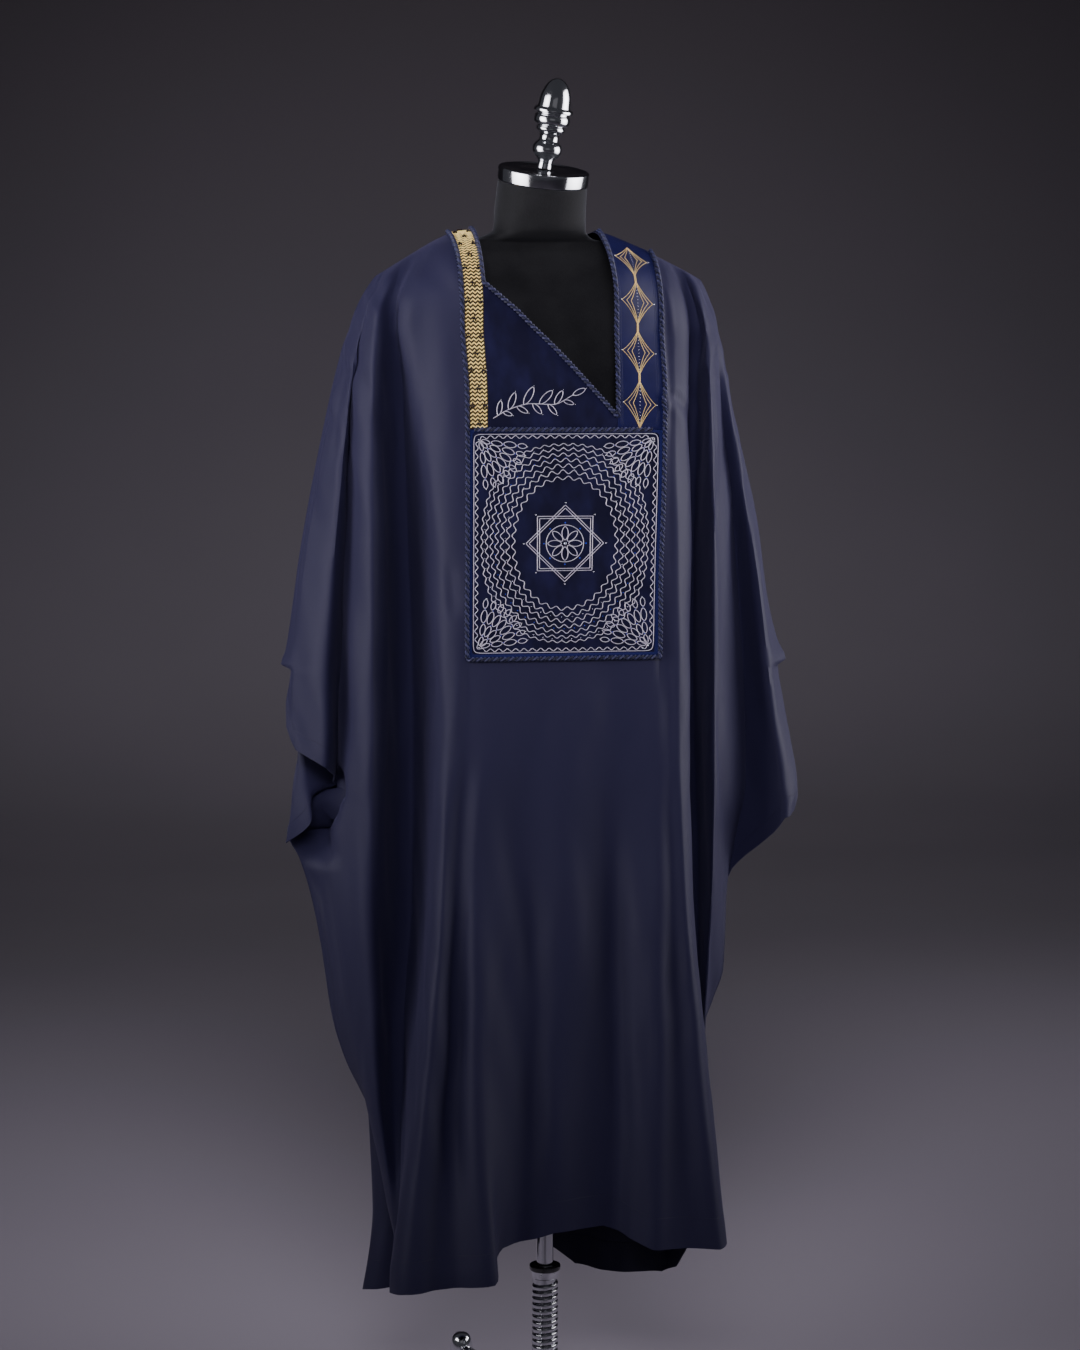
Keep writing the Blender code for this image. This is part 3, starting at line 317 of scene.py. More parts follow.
class Layer:
    """The robe's front or back as a fine grid, from shoulder to hem and from edge to edge."""

    def __init__(self, side, folds, levels, bands, fine):
        self.side, self.folds, self.levels = side, folds, levels
        self.names = [fold[0] for fold in folds]
        self.columns = np.arange((len(folds) - 1) * fine + 1) / fine
        self.rows = [("shoulder", "shoulder", 0.0)]
        above = "shoulder"
        for name, count, crowd in bands:
            self.rows += [(above, name, (k / count) ** crowd) for k in range(1, count + 1)]
            above = name
        heights = [[self.height(row, u) for u in self.columns] for row in self.rows]
        self.points = np.zeros((len(self.rows), len(self.columns), 3))
        self.points[..., 2] = heights
        for c, u in enumerate(self.columns):
            self.points[:, c, :2] = self.plan(u, self.points[:, c, 2])
        self.mark_cells()

    def place(self, name):
        return self.names.index(name)

    def column_of(self, name):
        return int(np.searchsorted(self.columns, self.place(name)))

    def row_of(self, level):
        return max(i for i, row in enumerate(self.rows) if row[1] == level and row[2] == 1.0)

    def shoulder_x(self, u):
        return np.interp(u, range(len(self.folds)), [fold[1] for fold in self.folds])

    def level(self, name, u):
        """Height of a named level at column u."""
        if name == "shoulder":
            return np.interp(self.shoulder_x(u), *zip(*SHOULDER_LINE))
        marks = [(self.place(fold), z) for fold, z in self.levels[name]]
        return np.interp(u, *zip(*marks))

    def height(self, row, u):
        above, below, share = row
        top, foot = self.level(above, u), self.level(below, u)
        z = top + (foot - top) * share
        if self.side == "back" and above == "shoulder":
            left, right = self.place("back left pleat"), self.place("back right pleat")
            if left < u < right:
                z -= (BACK_NECK_DIP * math.sin(math.pi * (u - left) / (right - left)) ** 0.6
                      * (1 - share ** 0.5))
        return z

    def fold_line(self, i, z):
        """Plan places of fold line i at heights z, before the shoulder rounds them."""
        name, _, xs, ys = self.folds[i]
        if xs is not None:
            return np.stack((smooth_through(HEIGHTS[::-1], xs[::-1], z),
                             smooth_through(HEIGHTS[::-1], ys[::-1], z)), -1)
        path = sorted(PATHS[name if name.endswith("seam") else self.side + " " + name])
        keys, xs, ys = zip(*path)
        place = np.stack((smooth_through(keys, xs, z), smooth_through(keys, ys, z)), -1)
        if self.side == "back" and name in BACK_SEAM_DEPTH:
            place[..., 1] += np.interp(z, *zip(*sorted(BACK_SEAM_DEPTH[name])))
        return place

    def plan(self, u, z):
        """Plan places at column u on a smooth curve through the fold lines."""
        z = np.atleast_1d(np.asarray(z, float))
        i = min(int(u), len(self.folds) - 2)
        t = u - i
        here, after = self.fold_line(i, z), self.fold_line(i + 1, z)
        before = self.fold_line(i - 1, z) if i else here * 2 - after
        beyond = self.fold_line(i + 2, z) if i + 2 < len(self.folds) else after * 2 - here
        span, back, ahead = (np.linalg.norm(way, axis=-1, keepdims=True) for way in
                             (after - here, here - before, beyond - after))
        lead = (after - before) * span / (span + back)
        trail = (beyond - here) * span / (span + ahead)
        lead *= SEAM_CREASE if self.names[i].endswith("seam") else 1.0
        trail *= SEAM_CREASE if self.names[i + 1].endswith("seam") else 1.0
        place = bent(here, lead, after, trail, t)
        shoulder = self.shoulder_x(u)
        drop = np.clip((self.level("shoulder", u) - z) / SHOULDER_DROP, 0.0, 1.0)
        place[:, 0] = shoulder + (place[:, 0] - shoulder) * drop * (2 - drop)
        place[:, 1] *= np.sqrt(drop * (2 - drop))
        return place

    def mark_cells(self):
        """Which cells of the grid are cloth, and where each row and column of it ends."""
        count, width = len(self.rows) - 1, len(self.columns) - 1
        left, right = self.column_of("left seam"), self.column_of("right seam")
        self.cells = np.ones((count, width), bool)
        self.cells[self.row_of("left mouth"):, :left] = False
        self.cells[self.row_of("right mouth"):, right:] = False
        if self.side == "front":
            neck = slice(self.column_of("trim inner edge"), self.column_of("neck point"))
            self.cells[:self.row_of("neck"), neck] = False
        self.last_row = np.full(width + 1, count)
        self.last_row[:left] = self.row_of("left mouth")
        self.last_row[right + 1:] = self.row_of("right mouth")
        self.first_column = np.where(np.arange(count + 1) > self.row_of("left mouth"), left, 0)
        self.last_column = np.where(np.arange(count + 1) > self.row_of("right mouth"), right,
                                    width)

    def measure(self):
        """Outward normals, and lengths along the cloth across each row and down each column."""
        p = self.points
        cell = unit(np.cross(p[1:, 1:] - p[:-1, :-1], p[:-1, 1:] - p[1:, :-1]))
        cell *= (self.cells if self.side == "front" else -1.0 * self.cells)[..., None]
        total = np.zeros_like(p)
        for rows in (slice(None, -1), slice(1, None)):
            for columns in (slice(None, -1), slice(1, None)):
                total[rows, columns] += cell
        self.normals = unit(total)
        across = np.linalg.norm(np.diff(p, axis=1), axis=-1)
        down = np.linalg.norm(np.diff(p, axis=0), axis=-1)
        self.across = np.pad(np.cumsum(across, axis=1), ((0, 0), (1, 0)))
        self.across -= self.across[:, [p.shape[1] // 2]]
        self.down = np.pad(np.cumsum(down, axis=0), ((1, 0), (0, 0)))
        rows, columns = np.arange(p.shape[0]), np.arange(p.shape[1])
        self.from_left = self.across - self.across[rows, self.first_column][:, None]
        self.from_right = self.across[rows, self.last_column][:, None] - self.across
        self.to_hem = self.down[self.last_row, columns][None] - self.down

    def crease(self, table, seed):
        """Moves the cloth out and in along its small creases and its slow unevenness."""
        self.measure()
        z = self.points[..., 2]
        move = np.zeros(z.shape)
        rows = np.arange(z.shape[0])
        for name, top, top_share, foot, foot_share, bow, width, depth in table:
            start = self.place(name)
            along = (top - z[:, self.column_of(name)]) / (top - foot)
            share = top_share + (foot_share - top_share) * along + bow * np.sin(math.pi * along)
            line = np.clip(start + share, 0, self.columns[-1])
            middle = np.array([np.interp(line[r], self.columns, self.across[r]) for r in rows])
            away = (self.across - middle[:, None]) / (width * 0.001)
            fade = ease(along / CREASE_END)
            if foot >= OPEN_HEM:
                fade = fade * ease((1 - along) / CREASE_END)
            move += depth * 0.001 * np.exp(-away * away) * fade[:, None]
        rng = np.random.default_rng(seed)
        for _ in range(WAVES):
            size, tall = rng.uniform(*WAVE_WIDTHS), rng.uniform(*WAVE_LENGTHS)
            phase, lean = rng.uniform(0, 2 * math.pi, 2), rng.uniform(-.35, .35)
            wave = np.sin(2 * math.pi * (self.across + lean * self.down) / size + phase[0])
            beat = 0.5 + 0.5 * np.sin(2 * math.pi * self.down / tall + phase[1])
            move += WAVE_HEIGHT * size * wave * beat
        edge = np.minimum(self.from_left, self.from_right)
        move *= ease(edge / CALM_EDGE) * ease(self.down / CALM_TOP)
        if self.side == "front":
            start, end = self.column_of("trim outer edge"), self.column_of("strap outer edge")
            calm = ease((self.down - self.down[self.row_of("panel foot")]) / CALM_TRIM)
            move[:, start:end + 1] *= np.maximum(calm, TRIM_SHARE)[:, start:end + 1]
        self.points += self.normals * move[..., None]

    def sew(self, partner):
        """Draws the edges back from the seams, half a gap and the cloth's own thickness."""
        sign = 1.0 if self.side == "front" else -1.0
        for side, way in (("left", 0.5), ("right", -0.5)):
            mouth, seam = self.row_of(side + " mouth"), self.column_of(side + " seam")
            edge = 0 if side == "left" else len(self.columns) - 1
            for name, column, rows in ((side + " edge", edge, np.arange(1, mouth + 1)),
                                       (side + " seam", seam,
                                        np.arange(mouth, len(self.rows)))):
                z = self.points[rows, column, 2]
                ways = []
                for layer in (self, partner) if sign > 0 else (partner, self):
                    u = layer.place(name)
                    ways.append(unit(layer.plan(u + way, z) - layer.plan(u, z)))
                half = np.arccos(np.clip((ways[0] * ways[1]).sum(-1), -1, 1)) / 2
                push = unit(ways[0] - ways[1]) * (SEWN_GAP + CLOTH * np.cos(half))[:, None] / 2
                self.points[rows, column, :2] += sign * push
        step = unit(self.points[1] - self.points[0])[:, 2]
        self.points[0, :, 1] += sign * (-SEWN_GAP / 2 + CLOTH / 2 * step)
        self.measure()

    def part(self, first, last, top, foot):
        """Points and normals of the grid between two fold lines and two levels."""
        columns = slice(self.column_of(first), self.column_of(last) + 1)
        rows = slice(self.row_of(top) if top else 0, self.row_of(foot) + 1)
        return self.points[rows, columns], self.normals[rows, columns]


def shell(points, normals, cells, outer, inner, backwards=False):
    """A closed shell over the cells of a grid: vertices, faces and each vertex's grid number."""
    number = np.arange(points.shape[0] * points.shape[1]).reshape(points.shape[:2])
    count = number.size
    a, b, c, d = number[:-1, :-1], number[:-1, 1:], number[1:, 1:], number[1:, :-1]
    faces = [np.stack((a, d, c, b), -1)[cells], np.stack((a, b, c, d), -1)[cells] + count]
    around = np.pad(cells, 1)
    for open_side, ring in ((~around[:-2, 1:-1], (a, b, b + count, a + count)),
                            (~around[1:-1, :-2], (a, a + count, d + count, d)),
                            (~around[2:, 1:-1], (d, d + count, c + count, c)),
                            (~around[1:-1, 2:], (b, c, c + count, b + count))):
        faces.append(np.stack(ring, -1)[cells & open_side])
    faces = np.concatenate(faces)
    if backwards:
        faces = faces[:, ::-1]
    both = np.concatenate(((points + normals * outer).reshape(-1, 3),
                           (points + normals * inner).reshape(-1, 3)))
    used, faces = np.unique(faces, return_inverse=True)
    return both[used], faces.reshape(-1, 4), used % count


def built(name, vertices, faces, *finishes, kinds=None, sharp=50.0):
    """An object in world place from vertices that count from the pole's axis."""
    mesh = bpy.data.meshes.new(name)
    mesh.from_pydata((np.asarray(vertices) + AXIS).tolist(), [],
                     [list(map(int, face)) for face in faces])
    for finish in finishes:
        mesh.materials.append(finish)
    if kinds is not None:
        mesh.polygons.foreach_set("material_index", np.asarray(kinds, np.int32))
    mesh.shade_smooth()
    mesh.set_sharp_from_angle(angle=math.radians(sharp))
    made = bpy.data.objects.new(name, mesh)
    bpy.context.collection.objects.link(made)
    return made


def spread(made, across, down):
    """Gives a mesh the map 'cloth': lengths in metres across and down its cloth, per vertex."""
    layer = made.data.uv_layers.new(name="cloth")
    corner = np.zeros(len(made.data.loops), np.int32)
    made.data.loops.foreach_get("vertex_index", corner)
    layer.data.foreach_set("uv", np.stack((across[corner], down[corner]), -1).ravel())


def mark(made, name, values):
    """Gives a mesh one number per vertex, under a name that its material reads."""
    attribute = made.data.attributes.new(name, "FLOAT", "POINT")
    attribute.data.foreach_set("value", np.asarray(values, np.float32))


class Wire:
    """An output of a shader node, with arithmetic on it written as arithmetic."""

    def __init__(self, finish, socket):
        self.finish, self.socket = finish, socket

    def maths(self, operation, *values, clamp=False):
        return self.finish.node("Math", {"operation": operation, "use_clamp": clamp},
                                dict(enumerate(values)))

    def __add__(self, other):
        return self.maths("ADD", self, other)

    def __sub__(self, other):
        return self.maths("SUBTRACT", self, other)

    def __rsub__(self, other):
        return self.maths("SUBTRACT", other, self)

    def __mul__(self, other):
        return self.maths("MULTIPLY", self, other)

    def __truediv__(self, other):
        return self.maths("DIVIDE", self, other)

    def __rtruediv__(self, other):
        return self.maths("DIVIDE", other, self)

    def __lt__(self, other):
        return self.maths("LESS_THAN", self, other)

    def __abs__(self):
        return self.maths("ABSOLUTE", self)

    __radd__, __rmul__ = __add__, __mul__

    def sine(self):
        return self.maths("SINE", self)

    def part_of(self, length):
        """How far along its repeat of that length, from nought to one."""
        return self.maths("FRACT", self * (1.0 / length))

    def held(self):
        """Kept between nought and one."""
        return self.maths("ADD", self, 0.0, clamp=True)

    def between(self, low, high):
        """Nought below low, one above high, and a soft step in the middle."""
        return self.finish.node("MapRange", {"interpolation_type": "SMOOTHSTEP"},
                                {"Value": self, "From Min": low, "From Max": high})


class Finish:
    """A procedural material on one Principled shader."""

    def __init__(self, name, **constants):
        self.material = bpy.data.materials.new(name)
        self.material.use_nodes = True
        self.tree = self.material.node_tree
        self.shader = self.tree.nodes["Principled BSDF"]
        for key, value in constants.items():
            socket = self.socket(key)
            socket.default_value = (*value, 1.0) if isinstance(value, tuple) else value

    def socket(self, name):
        return self.shader.inputs[name.replace("_", " ").title().replace("Ior", "IOR")]

    def node(self, kind, settings=None, inputs=None, output=0):
        """Any node: its type, its settings, then its inputs by name or number."""
        made = self.tree.nodes.new("ShaderNode" + kind)
        for key, value in (settings or {}).items():
            setattr(made, key, value)
        for key, value in (inputs or {}).items():
            if isinstance(value, Wire):
                self.tree.links.new(value.socket, made.inputs[key])
            else:
                made.inputs[key].default_value = value
        return Wire(self, made.outputs[output])

    def mix(self, share, first, second):
        """A colour between two colours, each a wire or three numbers."""
        first, second = ((*c, 1.0) if isinstance(c, tuple) else c for c in (first, second))
        return self.node("Mix", {"data_type": "RGBA"}, {0: share, 6: first, 7: second}, 2)

    def map(self):
        """Metres across and down the cloth, as one vector and then each by itself."""
        uv = self.node("UVMap", {"uv_map": "cloth"})
        return uv, *(self.node("SeparateXYZ", None, {0: uv}, k) for k in (0, 1))

    def place(self):
        """The point on the object, in metres."""
        return self.node("TexCoord", output="Object")

    def noise(self, where, size, detail=2.0, rough=0.5):
        """Soft blotches of about that size in metres, around one half."""
        return self.node("TexNoise", None, {"Vector": where, "Scale": 1.0 / size,
                                            "Detail": detail, "Roughness": rough})

    def stretched(self, where, x, y, z):
        """Coordinates scaled by x, y and z."""
        return self.node("VectorMath", {"operation": "MULTIPLY"}, {0: where, 1: (x, y, z)})

    def attribute(self, name):
        return self.node("Attribute", {"attribute_name": name}, output="Fac")

    def paint(self, **wires):
        """Links wires to the shader's own sockets."""
        for key, wire in wires.items():
            self.tree.links.new(wire.socket, self.socket(key))

    def raise_by(self, height, distance):
        """Bump of the given height, in units of distance in metres."""
        self.paint(normal=self.node("Bump", None, {"Height": height, "Distance": distance,
                                                   "Strength": 1.0}))


def suiting():
    """Smooth wool suiting: a fine twill, a soft sheen, and sewing along the hems, in a groove
    darkened by painted shade.
    """
    twill_pitch, hem_groove = 0.0011, 0.0009
    stitch_length, stitch_share = 0.0042, 0.62
    cloth = Finish("navy suiting", roughness=0.56, sheen_weight=0.07, sheen_roughness=0.45,
                   sheen_tint=(0.46, 0.43, 0.80), specular_ior_level=0.25)
    uv, across, down = cloth.map()
    hem, band = cloth.attribute("hem"), cloth.attribute("band")
    twill = ((across * 0.72 + down) * (2 * math.pi / twill_pitch)).sine()
    slub = cloth.noise(cloth.stretched(uv, 1.0, 0.12, 1.0), 0.0016, 3.0, 0.6)
    cloudy = cloth.noise(cloth.place(), 0.14, 3.0, 0.55)
    thread = cloth.noise(cloth.stretched(uv, 0.10, 1.0, 1.0), 0.0013, 2.0, 0.5)
    shaded_groove = 1.0 - (abs(hem - band) / hem_groove).held()
    stitch = shaded_groove * (across.part_of(stitch_length) < stitch_share)
    tone = cloth.mix((slub * 0.5 + thread * 0.3 + cloudy * 0.5 - 0.15).held(),
                     (0.0125, 0.0115, 0.0310), (0.0185, 0.0170, 0.0450))
    # painted shade: the colour darkens in the groove along the hem's stitch line
    tone = cloth.mix(shaded_groove * 0.45, tone, (0.005, 0.005, 0.012))
    tone = cloth.mix(stitch * 0.35, tone, (0.026, 0.024, 0.056))
    cloth.paint(base_color=tone, roughness=0.50 + slub * 0.10 + cloudy * 0.06)
    turned = (hem - band).between(-0.0008, 0.0008)
    cloth.raise_by(twill * 0.05 + slub * 0.10 + thread * 0.06 - turned * 0.55 - shaded_groove * 0.5
                   + stitch * 0.5, 0.0006)
    return cloth.material


FRONT = Layer("front", FRONT_FOLDS, FRONT_LEVELS, FRONT_BANDS, 8)
BACK = Layer("back", BACK_FOLDS, BACK_LEVELS, BACK_BANDS, 10)
FRONT.crease(FRONT_CREASES, 11)
BACK.crease(BACK_CREASES, 23)
FRONT.sew(BACK)
BACK.sew(FRONT)
navy = suiting()
for layer in (FRONT, BACK):
    vertices, faces, grid = shell(layer.points, layer.normals, layer.cells, CLOTH / 2,
                                  -CLOTH / 2, backwards=layer.side == "back")
    cloth = built("cloth_" + layer.side, vertices, faces, navy)
    spread(cloth, layer.across.ravel()[grid], layer.down.ravel()[grid])
    bands = np.full(layer.points.shape[:2], HEM_BAND)
    bands[:, :layer.column_of("left seam")] = CUFF_BAND
    bands[:, layer.column_of("right seam") + 1:] = CUFF_BAND
    mark(cloth, "hem", layer.to_hem.ravel()[grid])
    mark(cloth, "band", bands.ravel()[grid])
    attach(cloth, "dress_form")
    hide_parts("robe_" + layer.side)

# ==================================================================== square panel
# A square of near-black navy velvet on the chest, bound with a royal blue band and covered with
# couched silver thread and beads: a waved border, fans of petals in the corners, and waved rings
# round an eight-pointed star with a flower in it.
TRIM = 0.0012              # velvet, braid and satin laid on the front
TRIM_FOOT = CLOTH / 2 + 0.0003
TRIM_TOP = TRIM_FOOT + TRIM
DRAW_IN = 0.0003           # a piece of trim stays this far inside its place
BAND = 0.0040              # width of the royal blue band round the velvet
COUCHED = (0.00100, 0.0009)             # width and height of a couched silver thread
LINE_INSET = 0.0016        # a plain line of thread lies this far in from the band
LINE_SQUARENESS, BORDER_SQUARENESS = 40.0, 26.0
WAVE_BORDER = (0.0092, 0.0019, 0.0110)  # inset of the border's middle, height, length of a wave
RINGS = (
    # half width, half height, squareness, wave height, wave length
    (.1085, .1285, 2.30, .0014, .0120), (.1025, .1222, 2.25, .0018, .0125),
    (.0960, .1155, 2.20, .0021, .0130), (.0892, .1084, 2.15, .0023, .0135),
    (.0820, .1010, 2.10, .0025, .0140), (.0745, .0932, 2.10, .0025, .0140),
    (.0668, .0852, 2.05, .0023, .0140),
)
# how far from the corner a fan's petals spring, their length, number and width
FANS = ((.0030, .0120, 3, .0052), (.0165, .0150, 5, .0066), (.0330, .0170, 7, .0076),
        (.0520, .0120, 8, .0062))
FAN_INSET, FAN_SPREAD = 0.0035, math.radians(84.0)
FAN_BEAD_OUT = 0.0012
RING_BEADS_OUT = 0.0030
STAR_REACH, STAR_LINES = 0.0500, 0.0040 # its outer line's corners, and the gap to its inner line
STAR_OVERLAP = 0.0003      # the star's second square lies this much over its first
STAR_BEAD_OUT = 0.0030
FLOWER = (0.0045, 0.0175, 0.0080)       # where its petals spring, their length and width
FLOWER_RING, FLOWER_BEADS = 0.0240, 0.0270
SEED_BEAD, BORDER_BEAD, FLOWER_BEAD = 0.0008, 0.0009, 0.0011    # radii
STAR_BEAD, CORNER_BEAD, MIDDLE_BEAD = 0.0012, 0.0016, 0.0022
THREAD_STEP = 0.0015       # between the points of a thread


def lengths_along(path):
    """How far along its path each point lies."""
    return np.concatenate(([0.0], np.cumsum(np.linalg.norm(np.diff(path, axis=0), axis=1))))


def circle(count):
    """That many angles, evenly round a circle."""
    return 2 * math.pi * np.arange(count) / count


class Patch:
    """A stretch of the front and the needlework on it.  A place on it is (metres from its left
    edge, metres above its foot), along the cloth."""

    def __init__(self, points, normals):
        self.points, self.normals, self.work = points, normals, Heap()
        self.across = lengths_along(points[-1])
        rises = np.linalg.norm(np.diff(points, axis=0), axis=-1)[::-1]
        self.up = np.pad(np.cumsum(rises, axis=0), ((1, 0), (0, 0)))
        self.width = self.across[-1]
        self.height = self.up[-1].mean()

    def at(self, places, lift):
        """Points and normals at the given places, lifted off the cloth."""
        places = np.asarray(places, float)
        column = np.interp(places[:, 0], self.across, np.arange(len(self.across)))
        c = np.minimum(column.astype(int), len(self.across) - 2)
        s = column - c
        rises = self.up[:, c] * (1 - s) + self.up[:, c + 1] * s
        row = np.array([np.interp(y, rises[:, k], np.arange(len(rises)))
                        for k, y in enumerate(places[:, 1])])
        row = len(rises) - 1 - row
        r = np.minimum(row.astype(int), len(rises) - 2)
        s, t = s[:, None], (row - r)[:, None]

        def blend(grid):
            return ((grid[r, c] * (1 - s) + grid[r, c + 1] * s) * (1 - t)
                    + (grid[r + 1, c] * (1 - s) + grid[r + 1, c + 1] * s) * t)

        normals = unit(blend(self.normals))
        return blend(self.points) + normals * lift, normals

    def couch(self, path, closed=True, lift=TRIM_TOP, size=COUCHED):
        """Lays a thread along a flat path."""
        self.work.thread(*self.at(path, lift), *size, closed)

    def bead(self, places, radius, kind=1, lift=TRIM_TOP, **fineness):
        """Sews beads of one kind on at flat places."""
        self.work.beads(*self.at(places, lift), radius, kind, **fineness)


class Heap:
    """Many small closed bodies that become one object."""

    def __init__(self):
        self.vertices, self.faces, self.kinds, self.count = [], [], [], 0

    def add(self, vertices, faces, kind=0):
        self.vertices.append(vertices)
        self.faces += [[v + self.count for v in face] for face in faces]
        self.kinds += [kind] * len(faces)
        self.count += len(vertices)

    def rods(self, rings, closed, kind=0):
        """One closed body through rings of points, all with the same number of points."""
        steps, sides = rings.shape[:2]
        number = np.arange(steps * sides).reshape(steps, sides)
        after = np.roll(number, -1, axis=0) if closed else number[1:]
        start = number if closed else number[:-1]
        faces = np.stack((start, np.roll(start, -1, 1), np.roll(after, -1, 1), after), -1)
        faces = faces.reshape(-1, 4)[:, ::-1].tolist()
        if not closed:
            faces += [number[0].tolist(), number[-1, ::-1].tolist()]
        self.add(rings.reshape(-1, 3), faces, kind)

    def thread(self, points, normals, width, height, closed):
        """A thread that lies on the cloth: flat below and round above."""
        if closed:
            along = np.roll(points, -1, 0) - np.roll(points, 1, 0)
        else:
            along = np.gradient(points, axis=0)
        side = unit(np.cross(along, normals)) * width
        rise = normals * height
        rings = np.stack([points + side * x + rise * y for x, y in
                          ((-.5, 0), (-.34, .75), (0, 1), (.34, .75), (.5, 0))], 1)
        self.rods(rings, closed)

    def beads(self, points, normals, radius, kind, sides=7, rings=4):
        """Round beads, each half sunk in the cloth under it."""
        template = [(0.0, 0.0, 1.0)]
        for k in range(1, rings + 1):
            tilt = math.pi * k / (rings + 1)
            template += [(math.sin(tilt) * math.cos(a), math.sin(tilt) * math.sin(a),
                          math.cos(tilt)) for a in circle(sides)]
        template = np.array(template + [(0.0, 0.0, -1.0)]) * radius
        last = len(template) - 1
        faces = [(0, 1 + k, 1 + (k + 1) % sides) for k in range(sides)]
        for ring in range(rings - 1):
            a = 1 + ring * sides
            faces += [(a + k, a + sides + k, a + sides + (k + 1) % sides, a + (k + 1) % sides)
                      for k in range(sides)]
        a = 1 + (rings - 1) * sides
        faces += [(a + k, last, a + (k + 1) % sides) for k in range(sides)]
        for point, normal in zip(points, normals):
            self.add(template + point + normal * radius * 0.55, faces, kind)

    def build(self, name, *finishes):
        return built(name, np.concatenate(self.vertices), self.faces, *finishes,
                     kinds=self.kinds, sharp=70.0)


def evened(path, step, closed=False):
    """The same flat path with points an even step apart."""
    path = np.asarray(path, float)
    if closed:
        path = np.concatenate((path, path[:1]))
    lengths = lengths_along(path)
    count = max(int(round(lengths[-1] / step)), 2)
    where = np.linspace(0.0, lengths[-1], count + 1)[:-1 if closed else None]
    return np.stack([np.interp(where, lengths, path[:, k]) for k in range(path.shape[1])], -1)


def waved(path, height, length, phase=0.0):
    """A closed flat path with waves across it that meet at its ends."""
    ahead, behind = np.roll(path, -1, 0), np.roll(path, 1, 0)
    side = unit(np.stack((ahead[:, 1] - behind[:, 1], behind[:, 0] - ahead[:, 0]), -1))
    total = np.linalg.norm(ahead - path, axis=1).sum()
    waves = round(total / length)
    turn = 2 * math.pi * waves * np.arange(len(path)) / len(path) + phase
    return path + side * (height * np.sin(turn))[:, None]


def oval(middle, half_width, half_height, squareness):
    """A closed path between an ellipse and a rectangle."""
    turn = np.linspace(0, 2 * math.pi, 1600, endpoint=False)
    c, s = np.cos(turn), np.sin(turn)
    path = np.stack((np.sign(c) * np.abs(c) ** (2 / squareness) * half_width,
                     np.sign(s) * np.abs(s) ** (2 / squareness) * half_height), -1)
    return evened(path, THREAD_STEP, closed=True) + middle


def petal(root, angle, length, width, count=14):
    """The outline of a pointed leaf from its root."""
    t = np.linspace(0, math.pi, count)
    along = (1 - np.cos(t)) / 2 * length
    side = np.sin(t) ** 1.3 * width / 2
    leaf = np.concatenate((np.stack((along, side), -1), np.stack((along, -side), -1)[-2:0:-1]))
    c, s = math.cos(angle), math.sin(angle)
    return leaf @ np.array(((c, s), (-s, c))) + root


def laid_trim(name, first, last, top, foot, node, finish):
    """A flat piece of trim on the front between two fold lines and two levels."""
    points, normals = FRONT.part(first, last, top, foot)
    points = points.copy()
    for edge, inward in ((np.s_[0], np.s_[1]), (np.s_[-1], np.s_[-2]),
                         (np.s_[:, 0], np.s_[:, 1]), (np.s_[:, -1], np.s_[:, -2])):
        points[edge] += unit(points[inward] - points[edge]) * DRAW_IN
    cells = np.ones((points.shape[0] - 1, points.shape[1] - 1), bool)
    vertices, faces, grid = shell(points, normals, cells, TRIM_TOP, TRIM_FOOT)
    made = built(name, vertices, faces, finish)
    patch = Patch(points, normals)
    rows, columns = np.divmod(grid, points.shape[1])
    x, y = patch.across[columns], patch.up[::-1][rows, columns]
    spread(made, x, y)
    high = patch.up[-1][columns]
    mark(made, "edge", np.minimum(np.minimum(x, patch.width - x), np.minimum(y, high - y)))
    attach(made, "dress_form")
    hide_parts(node)
    cut = np.cross(points[1:, 1:] - points[:-1, :-1], points[1:, :-1] - points[:-1, 1:])
    cut = float(np.linalg.norm(cut, axis=-1).sum() / 2)
    return patch


def velvet(band):
    """Near-black navy velvet whose nap is brushed in blotches, with painted sheen where it catches
    the light, and a royal blue bound edge.
    """
    pile = Finish("dark velvet", roughness=0.9, sheen_weight=0.25, sheen_roughness=0.35,
                  sheen_tint=(0.10, 0.13, 0.52), specular_ior_level=0.15)
    uv, across, down = pile.map()
    sheen_blotch = pile.noise(pile.stretched(uv, 1.0, 0.6, 1.0), 0.045, 3.0, 0.6)
    nap = pile.noise(uv, 0.0011, 2.0, 0.6)
    # painted sheen: lighter blotches of colour where the brushed nap catches the light
    tone = pile.mix(sheen_blotch.between(0.35, 0.7), (0.0050, 0.0046, 0.0160), (0.0090, 0.0084, 0.0340))
    if band:
        edge = pile.attribute("edge")
        inside = edge.between(band - 0.0005, band + 0.0005)
        cross = ((across + down) * (2 * math.pi / 0.0016)).sine() * 0.5 + 0.5
        tone = pile.mix(inside, pile.mix(cross, (0.008, 0.009, 0.050), (0.014, 0.016, 0.085)), tone)
        pile.raise_by(nap * 0.12 - inside * 0.9 + cross * 0.2, 0.0005)
    else:
        pile.raise_by(nap * 0.2 + sheen_blotch * 0.3, 0.0005)
    pile.paint(base_color=tone)
    return pile.material


def metal_thread(name, colour, dark, roughness, metallic):
    """Metal thread wound round a core: bright windings with grooves darkened by painted shade."""
    wound = Finish(name, metallic=metallic)
    place = wound.place()
    grain_and_shade = wound.noise(place, 0.0009, 2.0, 0.6)
    # painted shade: the dark colour stands for shade in the grooves between the windings, at random
    # places
    wound.paint(base_color=wound.mix(grain_and_shade.between(0.3, 0.7), dark, colour),
                roughness=roughness + grain_and_shade * 0.25)
    wound.raise_by(grain_and_shade, 0.0003)
    return wound.material


def glass(name, colour, roughness, metallic=0.0):
    """Small glass or plated beads, each a little different."""
    bead = Finish(name, metallic=metallic, coat_weight=0.6, coat_roughness=0.06)
    shade = bead.noise(bead.place(), 0.006, 1.0)
    bead.paint(base_color=bead.mix(shade.between(0.3, 0.7), tuple(c * 0.55 for c in colour),
                                   colour), roughness=roughness + shade * 0.1)
    return bead.material


